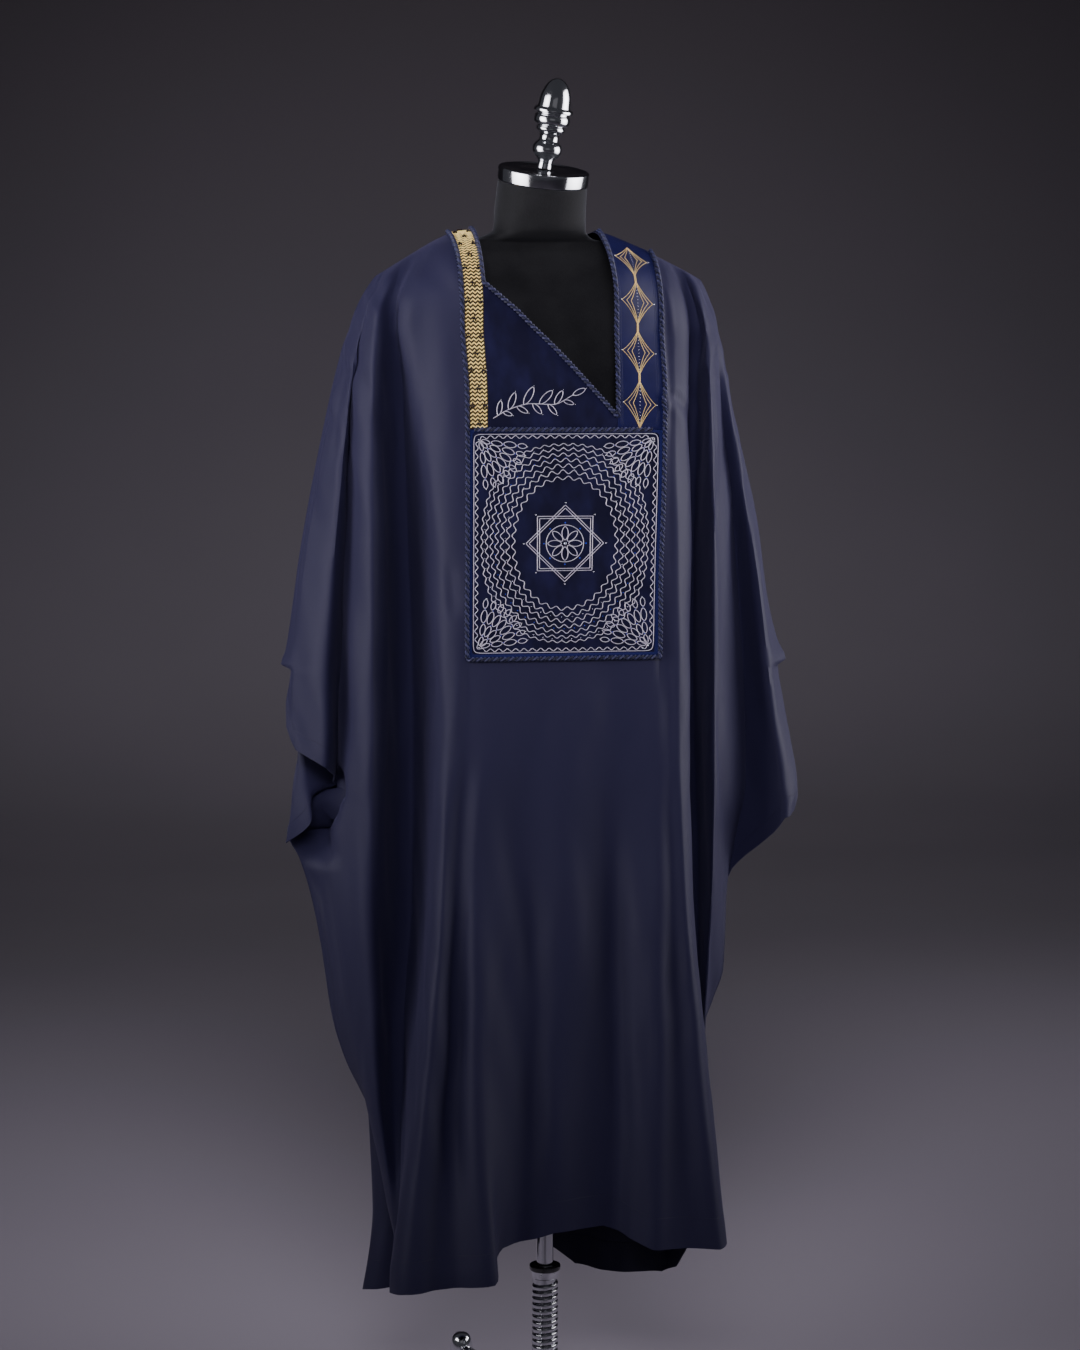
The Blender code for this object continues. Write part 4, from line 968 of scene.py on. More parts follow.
silver_thread = metal_thread("silver thread", (0.82, 0.77, 0.86), (0.42, 0.39, 0.50), 0.26, 0.45)
silver_bead = glass("silver beads", (0.86, 0.87, 0.95), 0.08, 0.9)
blue_bead = glass("blue glass beads", (0.030, 0.060, 0.50), 0.10)
panel = laid_trim("panel_velvet", "trim outer edge", "strap outer edge", "panel top", "panel foot",
                  "square_panel", velvet(BAND))
middle = np.array((panel.width / 2, panel.height / 2))


def toward(angle):
    """The flat direction at that angle."""
    return np.array((math.cos(angle), math.sin(angle)))


inset, wave, length = WAVE_BORDER
half = middle - inset
panel.couch(oval(middle, *(middle - BAND - LINE_INSET), LINE_SQUARENESS))
border = oval(middle, *half, BORDER_SQUARENESS)
panel.couch(waved(border, wave, length))
panel.bead(evened(border, length, closed=True), BORDER_BEAD)
for number, (half_width, half_height, squareness, wave, length) in enumerate(RINGS):
    ring = oval(middle, half_width, half_height, squareness)
    panel.couch(waved(ring, wave, length, number * math.pi))
    if number % 2:
        outside = oval(middle, half_width + RING_BEADS_OUT, half_height + RING_BEADS_OUT,
                       squareness)
        spots = evened(outside, length, closed=True)
        panel.bead(spots, SEED_BEAD, kind=1 + number % 4 // 2)
for sx in (-1, 1):
    for sy in (-1, 1):
        corner = middle + np.array((sx, sy)) * (half - FAN_INSET)
        inward = math.atan2(-sy, -sx)
        for root, length, count, width in FANS:
            for k in range(count):
                angle = inward + ((k + 0.5) / count - 0.5) * FAN_SPREAD
                away = toward(angle)
                panel.couch(petal(corner + away * root, angle, length, width))
                tip = corner + away * (root + length + FAN_BEAD_OUT)
                panel.bead([tip], SEED_BEAD, kind=1 + count % 2)
        panel.bead([corner], CORNER_BEAD)
for square in range(2):
    for reach in (STAR_REACH, STAR_REACH - STAR_LINES):
        turns = math.pi / 4 * square + math.pi / 2 * np.arange(5)
        corners = middle + reach * np.stack((np.cos(turns), np.sin(turns)), -1)
        panel.couch(evened(corners, THREAD_STEP)[:-1], lift=TRIM_TOP + square * STAR_OVERLAP)
root, length, width = FLOWER
for angle in math.pi / 4 * np.arange(8):
    away = toward(angle)
    panel.couch(petal(middle + away * root, angle, length, width))
    for reach, radius, kind in ((FLOWER_BEADS, FLOWER_BEAD, 2),
                                (STAR_REACH + STAR_BEAD_OUT, STAR_BEAD, 1)):
        panel.bead([middle + away * reach], radius, kind=kind)
panel.bead([middle], MIDDLE_BEAD)
panel.couch(oval(middle, FLOWER_RING, FLOWER_RING, 2.0))
panel_needlework = panel.work.build("panel_needlework", silver_thread, silver_bead, blue_bead)
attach(panel_needlework, "dress_form")

# ==================================================================== neck plaque
# A wedge of the same velvet between the gold strip and the cut of the neck, with one leafy branch
# couched in silver near its foot.
LEAF_LEAN = math.radians(48.0)
LEAF_BEAD, LEAF_BEAD_OUT = 0.0007, 0.0020
BRANCH = ((.006, .014), (.028, .026), (.056, .033), (.084, .032), (.112, .045))
LEAVES = (
    # share of the branch, side, length, width
    (.08, 1, .019, .0066), (.16, -1, .012, .0050), (.24, 1, .023, .0078), (.34, -1, .016, .0060),
    (.42, 1, .026, .0086), (.52, -1, .017, .0064), (.60, 1, .024, .0082), (.70, -1, .017, .0060),
    (.78, 1, .020, .0070), (.88, -1, .014, .0052), (1.0, 0, .018, .0066),
)
plaque = laid_trim("plaque_velvet", "trim inner edge", "neck point", "neck", "panel top",
                   "neck_plaque", velvet(0))
share = np.linspace(0.0, 1.0, len(BRANCH))
fine_share = np.linspace(0.0, 1.0, 90)
stem = np.stack([smooth_through(share, [p[k] for p in BRANCH], fine_share) for k in (0, 1)], -1)
plaque.couch(evened(stem, THREAD_STEP), closed=False)
last = len(stem) - 1
for where, side, length, width in LEAVES:
    k = min(int(where * last), last - 1)
    angle = math.atan2(*(stem[k + 1] - stem[k])[::-1]) + side * LEAF_LEAN
    plaque.couch(petal(stem[k], angle, length, width))
    plaque.bead([stem[k] + toward(angle) * (length + LEAF_BEAD_OUT)], LEAF_BEAD)
plaque_needlework = plaque.work.build("plaque_needlework", silver_thread, silver_bead)
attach(plaque_needlework, "dress_form")

# ==================================================================== gold strip
# A ribbon of gold metal mesh from the shoulder to the square panel: rows of flat zigzag wire on a
# dark ground, with little crosses of brown beads by turns at its middle and at its edges.
ZIGZAG = (0.0060, 0.0029, 0.0051)       # length and height of a zigzag, and row spacing
ZIGZAG_WIRE = (0.0021, 0.0008)
FIRST_ROW, SIDE_ROOM, END_ROOM = 0.0018, 0.0012, 0.0020 # bare ribbon below, beside, above them
FIRST_CROSS, CROSS_SPACING, CROSS_IN = 0.0075, 0.0225, 0.0042
CROSS = ((0, 0), (.0019, 0), (-.0019, 0), (0, .0021), (0, .0042), (.0015, -.002),
         (-.0015, -.002))
CROSS_BEAD, CROSS_LIFT, CROSS_STRAY = 0.0012, 0.0008, 0.0002
EDGE_BEAD, EDGE_BEAD_IN = 0.0009, 0.0006
gold_ground = Finish("gold braid ground", metallic=0.3, roughness=0.5)
gold_ground.paint(base_color=gold_ground.mix(
    gold_ground.noise(gold_ground.place(), 0.002), (0.016, 0.010, 0.004), (0.05, 0.030, 0.010)))
gold_wire = metal_thread("gold wire", (1.0, 0.84, 0.36), (1.0, 0.70, 0.22), 0.30, 0.15)
brown_bead = glass("brown beads", (0.022, 0.011, 0.007), 0.12)
strip = laid_trim("gold_ribbon", "trim outer edge", "trim inner edge", None, "panel top",
                  "gold_strip", gold_ground.material)
length, wave, spacing = ZIGZAG
reach = float(strip.up[-1].min()) - END_ROOM
turns = int((strip.width - 2 * SIDE_ROOM) / length * 2)
xs = np.linspace(SIDE_ROOM, strip.width - SIDE_ROOM, turns + 1)
for row in range(int((reach - wave) / spacing)):
    y = FIRST_ROW + row * spacing
    zigzag = np.stack((xs, y + wave * (np.arange(turns + 1) % 2)), -1)
    strip.couch(zigzag, closed=False, size=ZIGZAG_WIRE)
rng = np.random.default_rng(5)
for number in range(int(reach / CROSS_SPACING) + 1):
    y = FIRST_CROSS + number * CROSS_SPACING
    for x in (CROSS_IN, strip.width - CROSS_IN) if number % 2 else (strip.width / 2,):
        cross = np.array(CROSS) + (x, y)
        cross += rng.normal(0, CROSS_STRAY, cross.shape)
        cross = cross[cross[:, 1] < reach]
        strip.bead(cross, CROSS_BEAD, lift=TRIM_TOP + CROSS_LIFT, sides=6, rings=3)
    if number % 2:
        spots = ((EDGE_BEAD_IN, y + 0.002), (strip.width - EDGE_BEAD_IN, y + 0.001))
        strip.bead(spots, EDGE_BEAD, kind=2, sides=6, rings=3)
strip_mesh = strip.work.build("gold_mesh", gold_wire, brown_bead, silver_bead)
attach(strip_mesh, "dress_form")

# ==================================================================== shoulder strap
# A strap of royal blue satin from the other shoulder to the panel, edged with two rows of
# stitching and worked with a chain of four stars in pale gold thread, with a bead at each tip.
STARS = ((.0008, .0625), (.0700, .0600), (.1375, .0575), (.2025, .0550))   # foot, height
STAR_HALF_WIDTH = 0.0218
STAR_MIDDLE = (0.49, 0.52) # as shares of the strap's width and of the star's own height
STAR_LEAN = 0.10           # how much lower a star's right tip lies than its left
STAR_THREADS = ((1.0, 1.0), (0.70, 0.97), (0.42, 0.94)) # width and height of each thread's star
STAR_HOLLOW = 0.74         # the less, the more a star's sides curve in
FINE_COUCHED, LINK_COUCHED = (0.00065, 0.0006), (0.0010, 0.0007)
LINK_APART = 0.0016        # between the two threads that join two stars
TIP_BEAD, TIP_BEAD_OUT, SPINE_BEADS = 0.0013, 0.0014, 13
STRAP_STITCHES = (0.0048, 0.0072)       # the two rows' ways in from the strap's edge
STRAP_GROOVE, STRAP_STITCH, STRAP_STITCHED = 0.0006, 0.0034, 0.6
satin = Finish("royal satin", roughness=0.44, specular_ior_level=0.3)
uv, across, down = satin.map()
edge = satin.attribute("edge")
ribs = (down * (2 * math.pi / 0.0009)).sine()
cloudy = satin.noise(uv, 0.02, 3.0, 0.6)
first, second = (1.0 - (abs(edge - inward) / STRAP_GROOVE).held() for inward in STRAP_STITCHES)
shaded_groove = first + second
dash = shaded_groove * ((across + down).part_of(STRAP_STITCH) < STRAP_STITCHED)
tone = satin.mix(cloudy, (0.0036, 0.0037, 0.0280), (0.0080, 0.0080, 0.0560))
# painted shade: the colour darkens in the grooves of the two rows of stitching
tone = satin.mix(shaded_groove * 0.5, tone, (0.002, 0.002, 0.010))
satin.paint(base_color=satin.mix(dash * 0.4, tone, (0.018, 0.020, 0.10)),
            roughness=0.34 + cloudy * 0.14)
satin.raise_by(ribs * 0.05 - shaded_groove * 0.6 + dash * 0.5 + cloudy * 0.3, 0.0006)
strap = laid_trim("strap_satin", "neck point", "strap outer edge", None, "panel top",
                  "shoulder_strap", satin.material)
gold_thread = metal_thread("pale gold thread", (1.0, 0.78, 0.32), (0.76, 0.50, 0.16), 0.28, 0.5)


def hollow_star(middle, half_width, up, down):
    """A four-pointed star with hollow sides, from its top round by the right."""
    lean = STAR_LEAN * half_width
    tips = np.array(((0, up), (half_width, -lean), (0, -down), (-half_width, lean)), float)
    t = np.linspace(0, 1, 22, endpoint=False)[:, None]
    path = [a * (1 - t) ** 2 + (a + b) * STAR_HOLLOW * t * (1 - t) + b * t * t
            for a, b in zip(tips, np.roll(tips, -1, 0))]
    return evened(np.concatenate(path) + middle, 0.0013, closed=True)


for number, (foot, height) in enumerate(STARS):
    centre = np.array((strap.width * STAR_MIDDLE[0], foot + height * STAR_MIDDLE[1]))
    up, low = height * (1 - STAR_MIDDLE[1]), height * STAR_MIDDLE[1]
    for wide, tall in STAR_THREADS:
        strap.couch(hollow_star(centre, STAR_HALF_WIDTH * wide, up * tall, low * tall),
                    size=FINE_COUCHED)
    side = STAR_HALF_WIDTH + TIP_BEAD_OUT
    tips = centre + np.array(((-side, STAR_LEAN * side), (side, -STAR_LEAN * side)))
    strap.bead(tips, TIP_BEAD)
    spine = np.linspace(-low * 0.9, up * 0.85, SPINE_BEADS)
    strap.bead(centre + np.stack((np.zeros(SPINE_BEADS), spine), -1), SEED_BEAD)
    if number:
        below = STARS[number - 1][0] + STARS[number - 1][1]
        link = np.stack((np.full(5, centre[0]), np.linspace(below - 0.001, foot + 0.001, 5)), -1)
        for shift in (-LINK_APART / 2, LINK_APART / 2):
            strap.couch(link + (shift, 0), closed=False, size=LINK_COUCHED)
strap_needlework = strap.work.build("strap_needlework", gold_thread, silver_bead)
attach(strap_needlework, "dress_form")

# ==================================================================== twisted cords
# Two-ply twisted navy cord sewn along the outer edges of the trim, along the cut of the neck and
# across the top of the square panel.
PLY_RADIUS = 0.00175
PLY_OFFSET = 0.00160
PLY_SIDES = 7
CORD_PITCH = 0.0105
CORD_STEP = 0.0011
CORD_SUNK = 0.55           # share of the plies' offset by which the cord stands off the trim
CORD_OUT = 0.0022          # the border's cord lies this far outside the trim's edge
CORD_LOWER = 0.0004        # and this much lower
FIRST_CORD_ROW = 4         # the cords start this many rows under the shoulder seam


def twisted(name, route, node, finishes, outward=0.0):
    """A two-ply cord along grid points (row, column) of the front, moved sideways by outward."""
    rows, columns = zip(*route)
    points, normals = FRONT.points[rows, columns], FRONT.normals[rows, columns]
    turning = 0.05         # how much a turn of the cloth counts in the length of the route
    both = evened(np.concatenate((points, normals * turning), axis=1), CORD_STEP)
    points, normals = both[:, :3], unit(both[:, 3:])
    for _ in range(2):
        points[1:-1] = (points[:-2] + points[1:-1] * 2 + points[2:]) / 4
    along = unit(np.gradient(points, axis=0))
    side = unit(np.cross(along, normals))
    points = points + side * outward
    base = TRIM_TOP - CORD_LOWER if outward else TRIM_TOP
    points += normals * (base + PLY_RADIUS + PLY_OFFSET * CORD_SUNK)
    cord = Heap()
    for ply in (0, 1):
        turn = (2 * math.pi * lengths_along(points) / CORD_PITCH + ply * math.pi)[:, None]
        core = points + (side * np.cos(turn) + normals * np.sin(turn)) * PLY_OFFSET
        rings = np.stack([core + (side * math.cos(a) + normals * math.sin(a)) * PLY_RADIUS
                          for a in circle(PLY_SIDES)], 1)
        cord.rods(rings, False, ply)
    made = cord.build(name, *finishes)
    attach(made, "dress_form")
    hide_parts(node)


def ply_yarn(name, dark, light):
    """Soft yarn of one ply."""
    yarn = Finish(name, roughness=0.42, sheen_weight=0.2, sheen_tint=(0.3, 0.35, 0.8))
    strand = yarn.noise(yarn.place(), 0.0012, 2.0, 0.6)
    yarn.paint(base_color=yarn.mix(strand.between(0.3, 0.7), dark, light))
    yarn.raise_by(strand, 0.0004)
    return yarn.material


plies = (ply_yarn("dark cord ply", (0.0025, 0.0025, 0.009), (0.0060, 0.0058, 0.021)),
         ply_yarn("light cord ply", (0.017, 0.017, 0.049), (0.036, 0.035, 0.090)))
foot_row, top_row = FRONT.row_of("panel foot"), FRONT.row_of("panel top")
neck_row = FRONT.row_of("neck")
outer, inner = FRONT.column_of("trim outer edge"), FRONT.column_of("trim inner edge")
point, strap_edge = FRONT.column_of("neck point"), FRONT.column_of("strap outer edge")
for name, left, right, low, node, outward in (
        ("border_twist", outer, strap_edge, foot_row, "border_cord", CORD_OUT),
        ("neck_twist", inner, point, neck_row, "neck_cord", 0.0)):
    twisted(name, [(r, left) for r in range(FIRST_CORD_ROW, low)]
            + [(low, c) for c in range(left, right)]
            + [(r, right) for r in range(low, FIRST_CORD_ROW - 1, -1)], node, plies, outward)
twisted("yoke_twist", [(top_row, c) for c in range(outer + 2, strap_edge - 1)], "yoke_cord",
        plies)

# ==================================================================== dress form
# A limbless form: a padded shell under a tight black jersey cover, which is drawn up over the
# neck and held by the cap.  The neck leans forward, and the whole sits on the stand's pole.
# z, middle x, half width, front y, back y, squareness
FORM_SECTIONS = (
    (0.800, .000, .128, -.092, .096, 2.4), (0.815, .000, .146, -.102, .108, 2.4),
    (0.900, .000, .154, -.104, .112, 2.4), (1.000, .000, .146, -.098, .102, 2.4),
    (1.120, .000, .138, -.096, .094, 2.4), (1.240, .000, .150, -.104, .098, 2.4),
    (1.340, .000, .162, -.111, .102, 2.4), (1.420, -.002, .172, -.108, .102, 2.3),
    (1.490, -.006, .192, -.090, .088, 2.1), (1.530, -.007, .205, -.074, .072, 2.0),
    (1.553, -.0085, .2095, -.059, .060, 2.0), (1.5605, -.0105, .1985, -.055, .057, 2.0),
    (1.5800, -.0150, .1760, -.046, .048, 2.0), (1.5942, -.0165, .1475, -.040, .040, 2.0),
    (1.6055, -.0180, .1130, -.042, .038, 2.0), (1.6115, -.0150, .0770, -.052, .043, 2.0),
    (1.6230, -.0090, .0615, -.064, .047, 2.0), (1.6500, -.0080, .0605, -.070, .050, 2.0),
    (1.6840, -.0060, .0590, -.077, .041, 2.0),
)
NECK_FOOT, NECK_TOP = 1.6150, 1.6840
NECK_LEAN = math.radians(12.0)
NECK_SLOPE = math.radians(4.0)
NECK_MIDDLE = (-.0060, -.0180)          # of the cap's foot, in plan
keys = [section[0] for section in FORM_SECTIONS]
heights = np.concatenate([np.linspace(low, high, 7)[:-1] for low, high in zip(keys, keys[1:])]
                         + [keys[-1:]])
middle, half, front, back, power = (
    smooth_through(keys, [section[k] for section in FORM_SECTIONS], heights)[:, None]
    for k in range(1, 6))
turns = circle(96)
c, s = np.cos(turns), np.sin(turns)
x = half * np.sign(c) * np.abs(c) ** (2 / power)
y = (back - front) / 2 * np.sign(s) * np.abs(s) ** (2 / power)
lean = np.clip((heights - NECK_FOOT) / (NECK_TOP - NECK_FOOT), 0, 1)[:, None]
rise = lean * (y * math.tan(NECK_LEAN) - x * math.tan(NECK_SLOPE))
rings = np.stack((middle + x, (front + back) / 2 + y, heights[:, None] + rise), -1)
body = Heap()
body.rods(rings[::-1], False)
jersey = Finish("black jersey", roughness=0.82, sheen_weight=0.12, sheen_roughness=0.4,
                sheen_tint=(0.55, 0.57, 0.68), specular_ior_level=0.25)
where = jersey.place()
knit = jersey.noise(jersey.stretched(where, 1.0, 1.0, 0.35), 0.0012, 2.0, 0.6)
worn = jersey.noise(where, 0.05, 3.0, 0.6)
jersey.paint(base_color=jersey.mix((knit * 0.5 + worn * 0.5).between(0.35, 0.65),
                                   (0.0060, 0.0060, 0.0070), (0.0110, 0.0111, 0.0125)))
jersey.raise_by(knit * 0.4 + worn * 0.3, 0.0004)
torso = body.build("form_jersey", jersey.material)
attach(torso, "dress_form")
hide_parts("form_torso")

# ==================================================================== neck cap and finial
# A turned disc of chromed metal closes the neck, and a turned chrome finial is screwed to its
# middle.  Both follow the lean of the neck.
CAP_RADIUS, CAP_HEIGHT, CAP_ROUND = 0.0605, 0.0180, 0.0020
CAP_SEAT = 0.0003
CAP_GROOVE = 0.0006        # depth of the shallow dish in its top
CAP_RIM, CAP_BOSS = 0.0045, 0.0170      # width of the rim and radius of the boss round the dish
FINIAL_LEAN = math.radians(8.5)
FINIAL_FORWARD = 0.6       # share of the neck's own lean forward
FINIAL_SINK = 0.0012
FINIAL_PROFILE = (
    # radius, height
    (.0100, .0000), (.0098, .0030), (.0093, .0065), (.0096, .0100), (.0118, .0128),
    (.0160, .0165), (.0187, .0205), (.0195, .0250), (.0187, .0295), (.0162, .0330),
    (.0136, .0352), (.0127, .0372), (.0124, .0410), (.0128, .0440), (.0150, .0466),
    (.0176, .0482), (.0187, .0500), (.0190, .0520), (.0184, .0538), (.0174, .0548),
    (.0176, .0556), (.0206, .0566), (.0228, .0586), (.0236, .0618), (.0236, .0655),
    (.0228, .0688), (.0208, .0704), (.0206, .0714), (.0240, .0724), (.0258, .0736),
    (.0262, .0753), (.0256, .0774), (.0236, .0790), (.0218, .0798), (.0212, .0830),
    (.0209, .0870), (.0202, .0930), (.0188, .0990), (.0165, .1050), (.0133, .1105),
    (.0092, .1148), (.0046, .1172), (.0008, .1180),
)


def turned(name, profile, finish, seat=Matrix(), steps=72, body="stand", nodes=(), bore=False):
    """A turned piece from (radius, height) pairs on a seat, closed at both ends or bored."""
    rings = np.array([[(r * math.cos(a), r * math.sin(a), z) for a in circle(steps)]
                      for r, z in profile])
    frame_of = np.array(seat)
    rings = rings @ frame_of[:3, :3].T + frame_of[:3, 3]
    made = Heap()
    made.rods(rings, bore)
    made = made.build(name, finish)
    made.data.set_sharp_from_angle(angle=math.radians(40.0))
    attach(made, body)
    if nodes:
        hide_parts(*nodes)
    return made


def plated(name, colour, roughness, **constants):
    """Polished metal with faint smears and fine scratches."""
    metal = Finish(name, **constants)
    smear = metal.noise(metal.place(), 0.03, 4.0, 0.65)
    scratch = metal.noise(metal.stretched(metal.place(), 1.0, 1.0, 0.08), 0.0015, 2.0, 0.6)
    metal.paint(base_color=metal.mix(smear, tuple(c * 0.93 for c in colour), colour),
                roughness=roughness + smear.between(0.45, 0.8) * 0.07 + scratch * 0.03)
    metal.raise_by(scratch, 0.00002)
    return metal.material


def rounded_disc(radius, low, high, rounding, steps=6):
    """(radius, height) pairs of a disc with rounded edges."""
    bend = np.linspace(0, math.pi / 2, steps)
    foot = [(radius - rounding + rounding * math.sin(a), low + rounding - rounding * math.cos(a))
            for a in bend]
    head = [(radius - rounding + rounding * math.cos(a),
             high - rounding + rounding * math.sin(a)) for a in bend]
    return foot + head


chrome = plated("chrome", (0.84, 0.85, 0.88), 0.10, metallic=1.0)
cap_tilt = Matrix.Rotation(NECK_LEAN, 3, "X") @ Matrix.Rotation(NECK_SLOPE, 3, "Y")
cap_place = Vector((*NECK_MIDDLE, NECK_TOP)) + cap_tilt @ Vector((0, 0, CAP_SEAT))
disc = rounded_disc(CAP_RADIUS, 0.0, CAP_HEIGHT, CAP_ROUND)
disc += [(radius, CAP_HEIGHT - depth) for radius, depth in (
    (CAP_RADIUS - CAP_RIM, 0.0), (CAP_RADIUS - CAP_RIM - 0.001, CAP_GROOVE),
    (CAP_BOSS + 0.001, CAP_GROOVE), (CAP_BOSS, 0.0))]
turned("neck_disc", disc, chrome, Matrix.Translation(cap_place) @ cap_tilt.to_4x4(), 128,
       "dress_form", ("neck_cap",))
finial_tilt = (Matrix.Rotation(NECK_LEAN * FINIAL_FORWARD, 3, "X")
               @ Matrix.Rotation(FINIAL_LEAN, 3, "Y"))
finial_place = cap_place + cap_tilt @ Vector((0, 0, CAP_HEIGHT + FINIAL_SINK))
finial_seat = Matrix.Translation(finial_place) @ finial_tilt.to_4x4()
turned("turned_finial", FINIAL_PROFILE, chrome, finial_seat, 72, "dress_form", ("finial",))

# ==================================================================== stand
# A chrome pole slides in a sprung column, which stands on a hub with three legs; each leg ends in
# an upright foot with a domed head and a rubber pad.  A glossy black ring closes the column.
POLE_BORE = 0.01195
RING_TOP, RING_RADIUS, RING_HEIGHT, RING_ROUND = 0.2140, 0.0215, 0.0082, 0.0022
RING_FOOT = 0.1948         # of the chromed bevel under the black ring
SLEEVE_RADIUS = 0.0183
SPRING_LOW, SPRING_HIGH, SPRING_PITCH = 0.0620, 0.1936, 0.0086
SPRING_WIRE = (0.00150, 0.00375)          # half thickness and half height of the flat wire
SPRING_STEPS, SPRING_SIDES = 44, 10       # of a coil, and round the wire
LEG_REACH = 0.237
LEG_ANGLES = (112.0, 232.0, 352.0)
FOOT_FLOOR = 0.0063
FOOT_PROFILE = (
    (.0160, .0000), (.0171, .0010), (.0175, .0030), (.0175, .0140), (.0172, .0170),
    (.0166, .0225), (.0160, .0275), (.0152, .0325), (.0141, .0365), (.0126, .0400),
    (.0104, .0430), (.0074, .0451), (.0038, .0461), (.0008, .0463),
)
enamel = plated("black enamel", (0.012, 0.012, 0.014), 0.08, specular_ior_level=0.6,
                coat_weight=0.8, coat_roughness=0.04)
ring_low = RING_TOP - RING_HEIGHT
ring = rounded_disc(RING_RADIUS, ring_low, RING_TOP, RING_ROUND)
turned("column_ring", [(POLE_BORE, ring_low)] + ring
       + [(POLE_BORE + 0.0015, RING_TOP), (POLE_BORE, RING_TOP - 0.0012)], enamel,
       nodes=("collar",), bore=True)
bevel_top = ring_low - 0.0002
turned("column_bevel", [(POLE_BORE, RING_FOOT), (SLEEVE_RADIUS - 0.0008, RING_FOOT),
                        (SLEEVE_RADIUS, RING_FOOT + 0.0008), (SLEEVE_RADIUS, RING_FOOT + 0.0052),
                        (SLEEVE_RADIUS + 0.0016, bevel_top), (POLE_BORE, bevel_top)],
       chrome, bore=True)
coils = (SPRING_HIGH - SPRING_LOW - 2 * SPRING_WIRE[1]) / SPRING_PITCH
steps = int(coils * SPRING_STEPS)
turn = 2 * math.pi * coils * np.arange(steps + 1) / steps
climb = SPRING_LOW + SPRING_WIRE[1] + turn / (2 * math.pi) * SPRING_PITCH
rings = []
for round_wire in circle(SPRING_SIDES):
    r = SLEEVE_RADIUS - SPRING_WIRE[0] * (1 - math.cos(round_wire))
    z = climb + SPRING_WIRE[1] * math.sin(round_wire)
    rings.append(np.stack((r * np.cos(turn), r * np.sin(turn), z), -1))
coil = Heap()
coil.rods(np.stack(rings[::-1], 1), False)
spring = coil.build("coil_spring", chrome)
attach(spring, "stand")
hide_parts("spring")
for number, angle in enumerate(LEG_ANGLES, start=1):
    heading = Matrix.Rotation(math.radians(angle), 4, "Z")
    seat = heading @ Matrix.Translation((LEG_REACH, 0, FOOT_FLOOR))
    turned("domed_foot_%d" % number, FOOT_PROFILE, chrome, seat, 56, nodes=("foot_%d" % number,))
rubber = Finish("black rubber", roughness=0.8)
dust = rubber.noise(rubber.place(), 0.004, 3.0)
rubber.paint(base_color=rubber.mix(dust, (0.014, 0.014, 0.014), (0.032, 0.031, 0.030)))
rubber.raise_by(dust, 0.0002)
pads = ["foot_pad_%d" % k for k in (1, 2, 3)]
for node in ["pole", "column", "hub", "leg_1", "leg_2", "leg_3"] + pads:
    finish = rubber.material if node in pads else chrome
    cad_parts[node].material_slots[0].material = finish

# ==================================================================== floor and backdrop
# A plain sheet of pale paper lies on the floor and sweeps up behind the object.  Far behind the
# form it is painted darker, a painted shade for the light that falls off there, and it grows
# lighter towards the top.
PAPER_HALF_WIDTH = 8.0
PAINTED_SHADE_FADE = (1.3, 3.7)   # y between which the pale paper fades into painted shade, behind the form
PAPER_UNDER = 0.0005       # the paper lies this far under the feet
SWEEP = ((-6.0, 0.0), (1.2, 0.0), (4.7, 0.0), (5.4, 0.03), (6.0, 0.16), (6.5, 0.45),
         (6.8, 0.95), (6.95, 1.6), (7.0, 2.6), (7.0, 9.0))    # y and z of its fold
rows = np.array([[(x, y, z - PAPER_UNDER) for x in (-PAPER_HALF_WIDTH, PAPER_HALF_WIDTH)]
                 for y, z in SWEEP])
number = np.arange(rows.shape[0] * 2).reshape(-1, 2)
faces = np.stack((number[:-1, 0], number[:-1, 1], number[1:, 1], number[1:, 0]), -1)
paper = Finish("backdrop paper", roughness=0.85)
place = paper.place()
tone = paper.noise(place, 0.9, 3.0, 0.5)
depth, height = (paper.node("SeparateXYZ", None, {0: place}, k) for k in (1, 2))
tone = paper.mix(tone, (0.155, 0.142, 0.164), (0.182, 0.167, 0.192))
tone = paper.mix(height.between(1.2, 3.2), tone, (0.225, 0.199, 0.222))
# painted shade: far behind the form the pale floor colour gives way to the darker one, which stands
# for the light falling off there
paper.paint(base_color=paper.mix(depth.between(*PAINTED_SHADE_FADE), (0.350, 0.318, 0.378), tone))
sweep = built("sweep", rows.reshape(-1, 3), faces, paper.material, sharp=180.0)

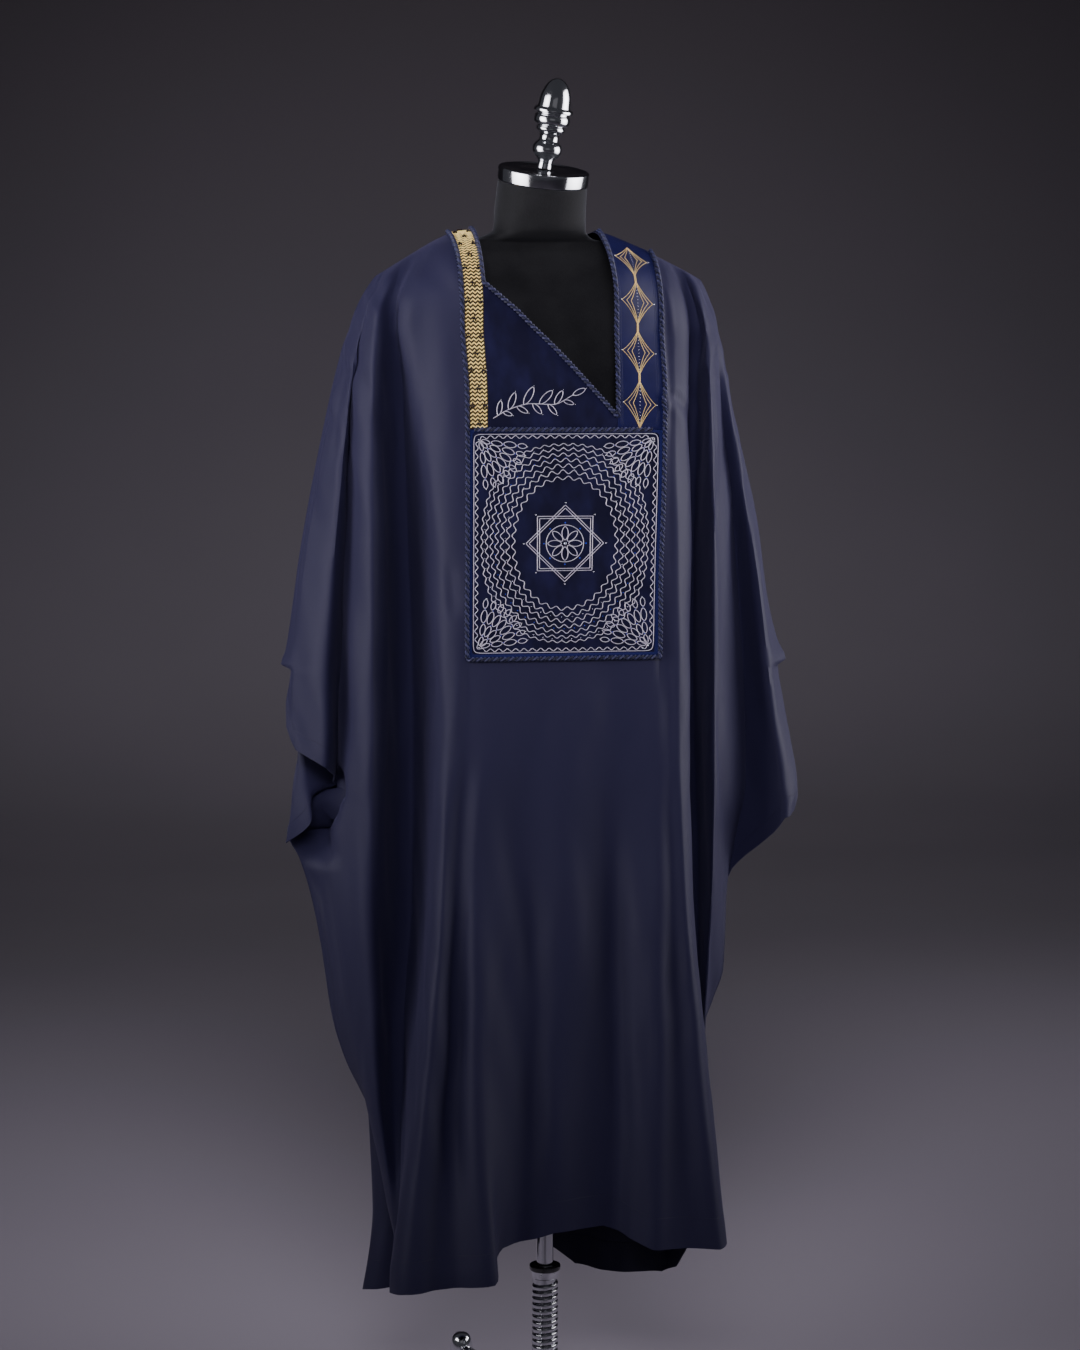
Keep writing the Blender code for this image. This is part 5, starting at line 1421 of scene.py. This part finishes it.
# ==================================================================== light
# Two tall soft boxes stand at the sides, a little in front.  A weak wide one above the camera
# fills the folds and another lifts the back, and a dim card only shows in the chrome.
# name, place, aimed at, width, height, watts, spread in degrees
LIGHTS = (
    ("left soft box", (-1.66, -0.64, 1.64), (0.0, 0.0, 1.60), 1.5, 1.9, 12.5, 80.0),
    ("right soft box", (1.72, -0.28, 1.62), (0.0, 0.0, 1.55), 1.7, 1.9, 17.0, 85.0),
    ("front fill", (-0.60, -4.20, 4.00), (0.0, 0.0, 2.20), 3.0, 2.4, 33.0, 40.0),
    ("back fill", (0.90, 3.60, 3.00), (0.0, 0.0, 1.10), 2.4, 2.0, 9.0, 40.0),
    ("soft card", (-0.40, -4.60, 1.90), (0.0, 0.0, 1.70), 2.6, 1.6, 1.1, 180.0),
)
for name, place, target, width, height, watts, spread in LIGHTS:
    lamp = bpy.data.lights.new(name, "AREA")
    lamp.shape, lamp.size, lamp.size_y = "RECTANGLE", width, height
    lamp.energy, lamp.color = watts, (0.98, 0.95, 1.0)
    lamp.spread = math.radians(spread)
    light = bpy.data.objects.new(name, lamp)
    light.location = place
    light.rotation_euler = (Vector(target) - Vector(place)).to_track_quat("-Z", "Y").to_euler()
    light.visible_glossy = "fill" not in name
    light.visible_diffuse = "card" not in name
    bpy.context.collection.objects.link(light)
world = bpy.data.worlds.new("studio")
world.use_nodes = True
world.node_tree.nodes["Background"].inputs[0].default_value = (0.55, 0.56, 0.66, 1.0)
world.node_tree.nodes["Background"].inputs[1].default_value = 0.065
bpy.context.scene.world = world

# ==================================================================== camera
# It stands a little to the left of the robe's middle, level with the chest, and looks slightly
# down and to the right.
CAMERA_PLACE = (-0.63873, -4.22848, 1.47747)
CAMERA_YAW = math.radians(8.5)
CAMERA_PITCH = math.radians(6.0)
lens = bpy.data.cameras.new("camera")
lens.lens, lens.sensor_fit, lens.sensor_height = 85.0, "VERTICAL", 36.0
camera = bpy.data.objects.new("camera", lens)
camera.location = Vector(CAMERA_PLACE) + Vector(AXIS)
camera.rotation_euler = (math.radians(90.0) - CAMERA_PITCH, 0.0, -CAMERA_YAW)
bpy.context.collection.objects.link(camera)
bpy.context.scene.camera = camera
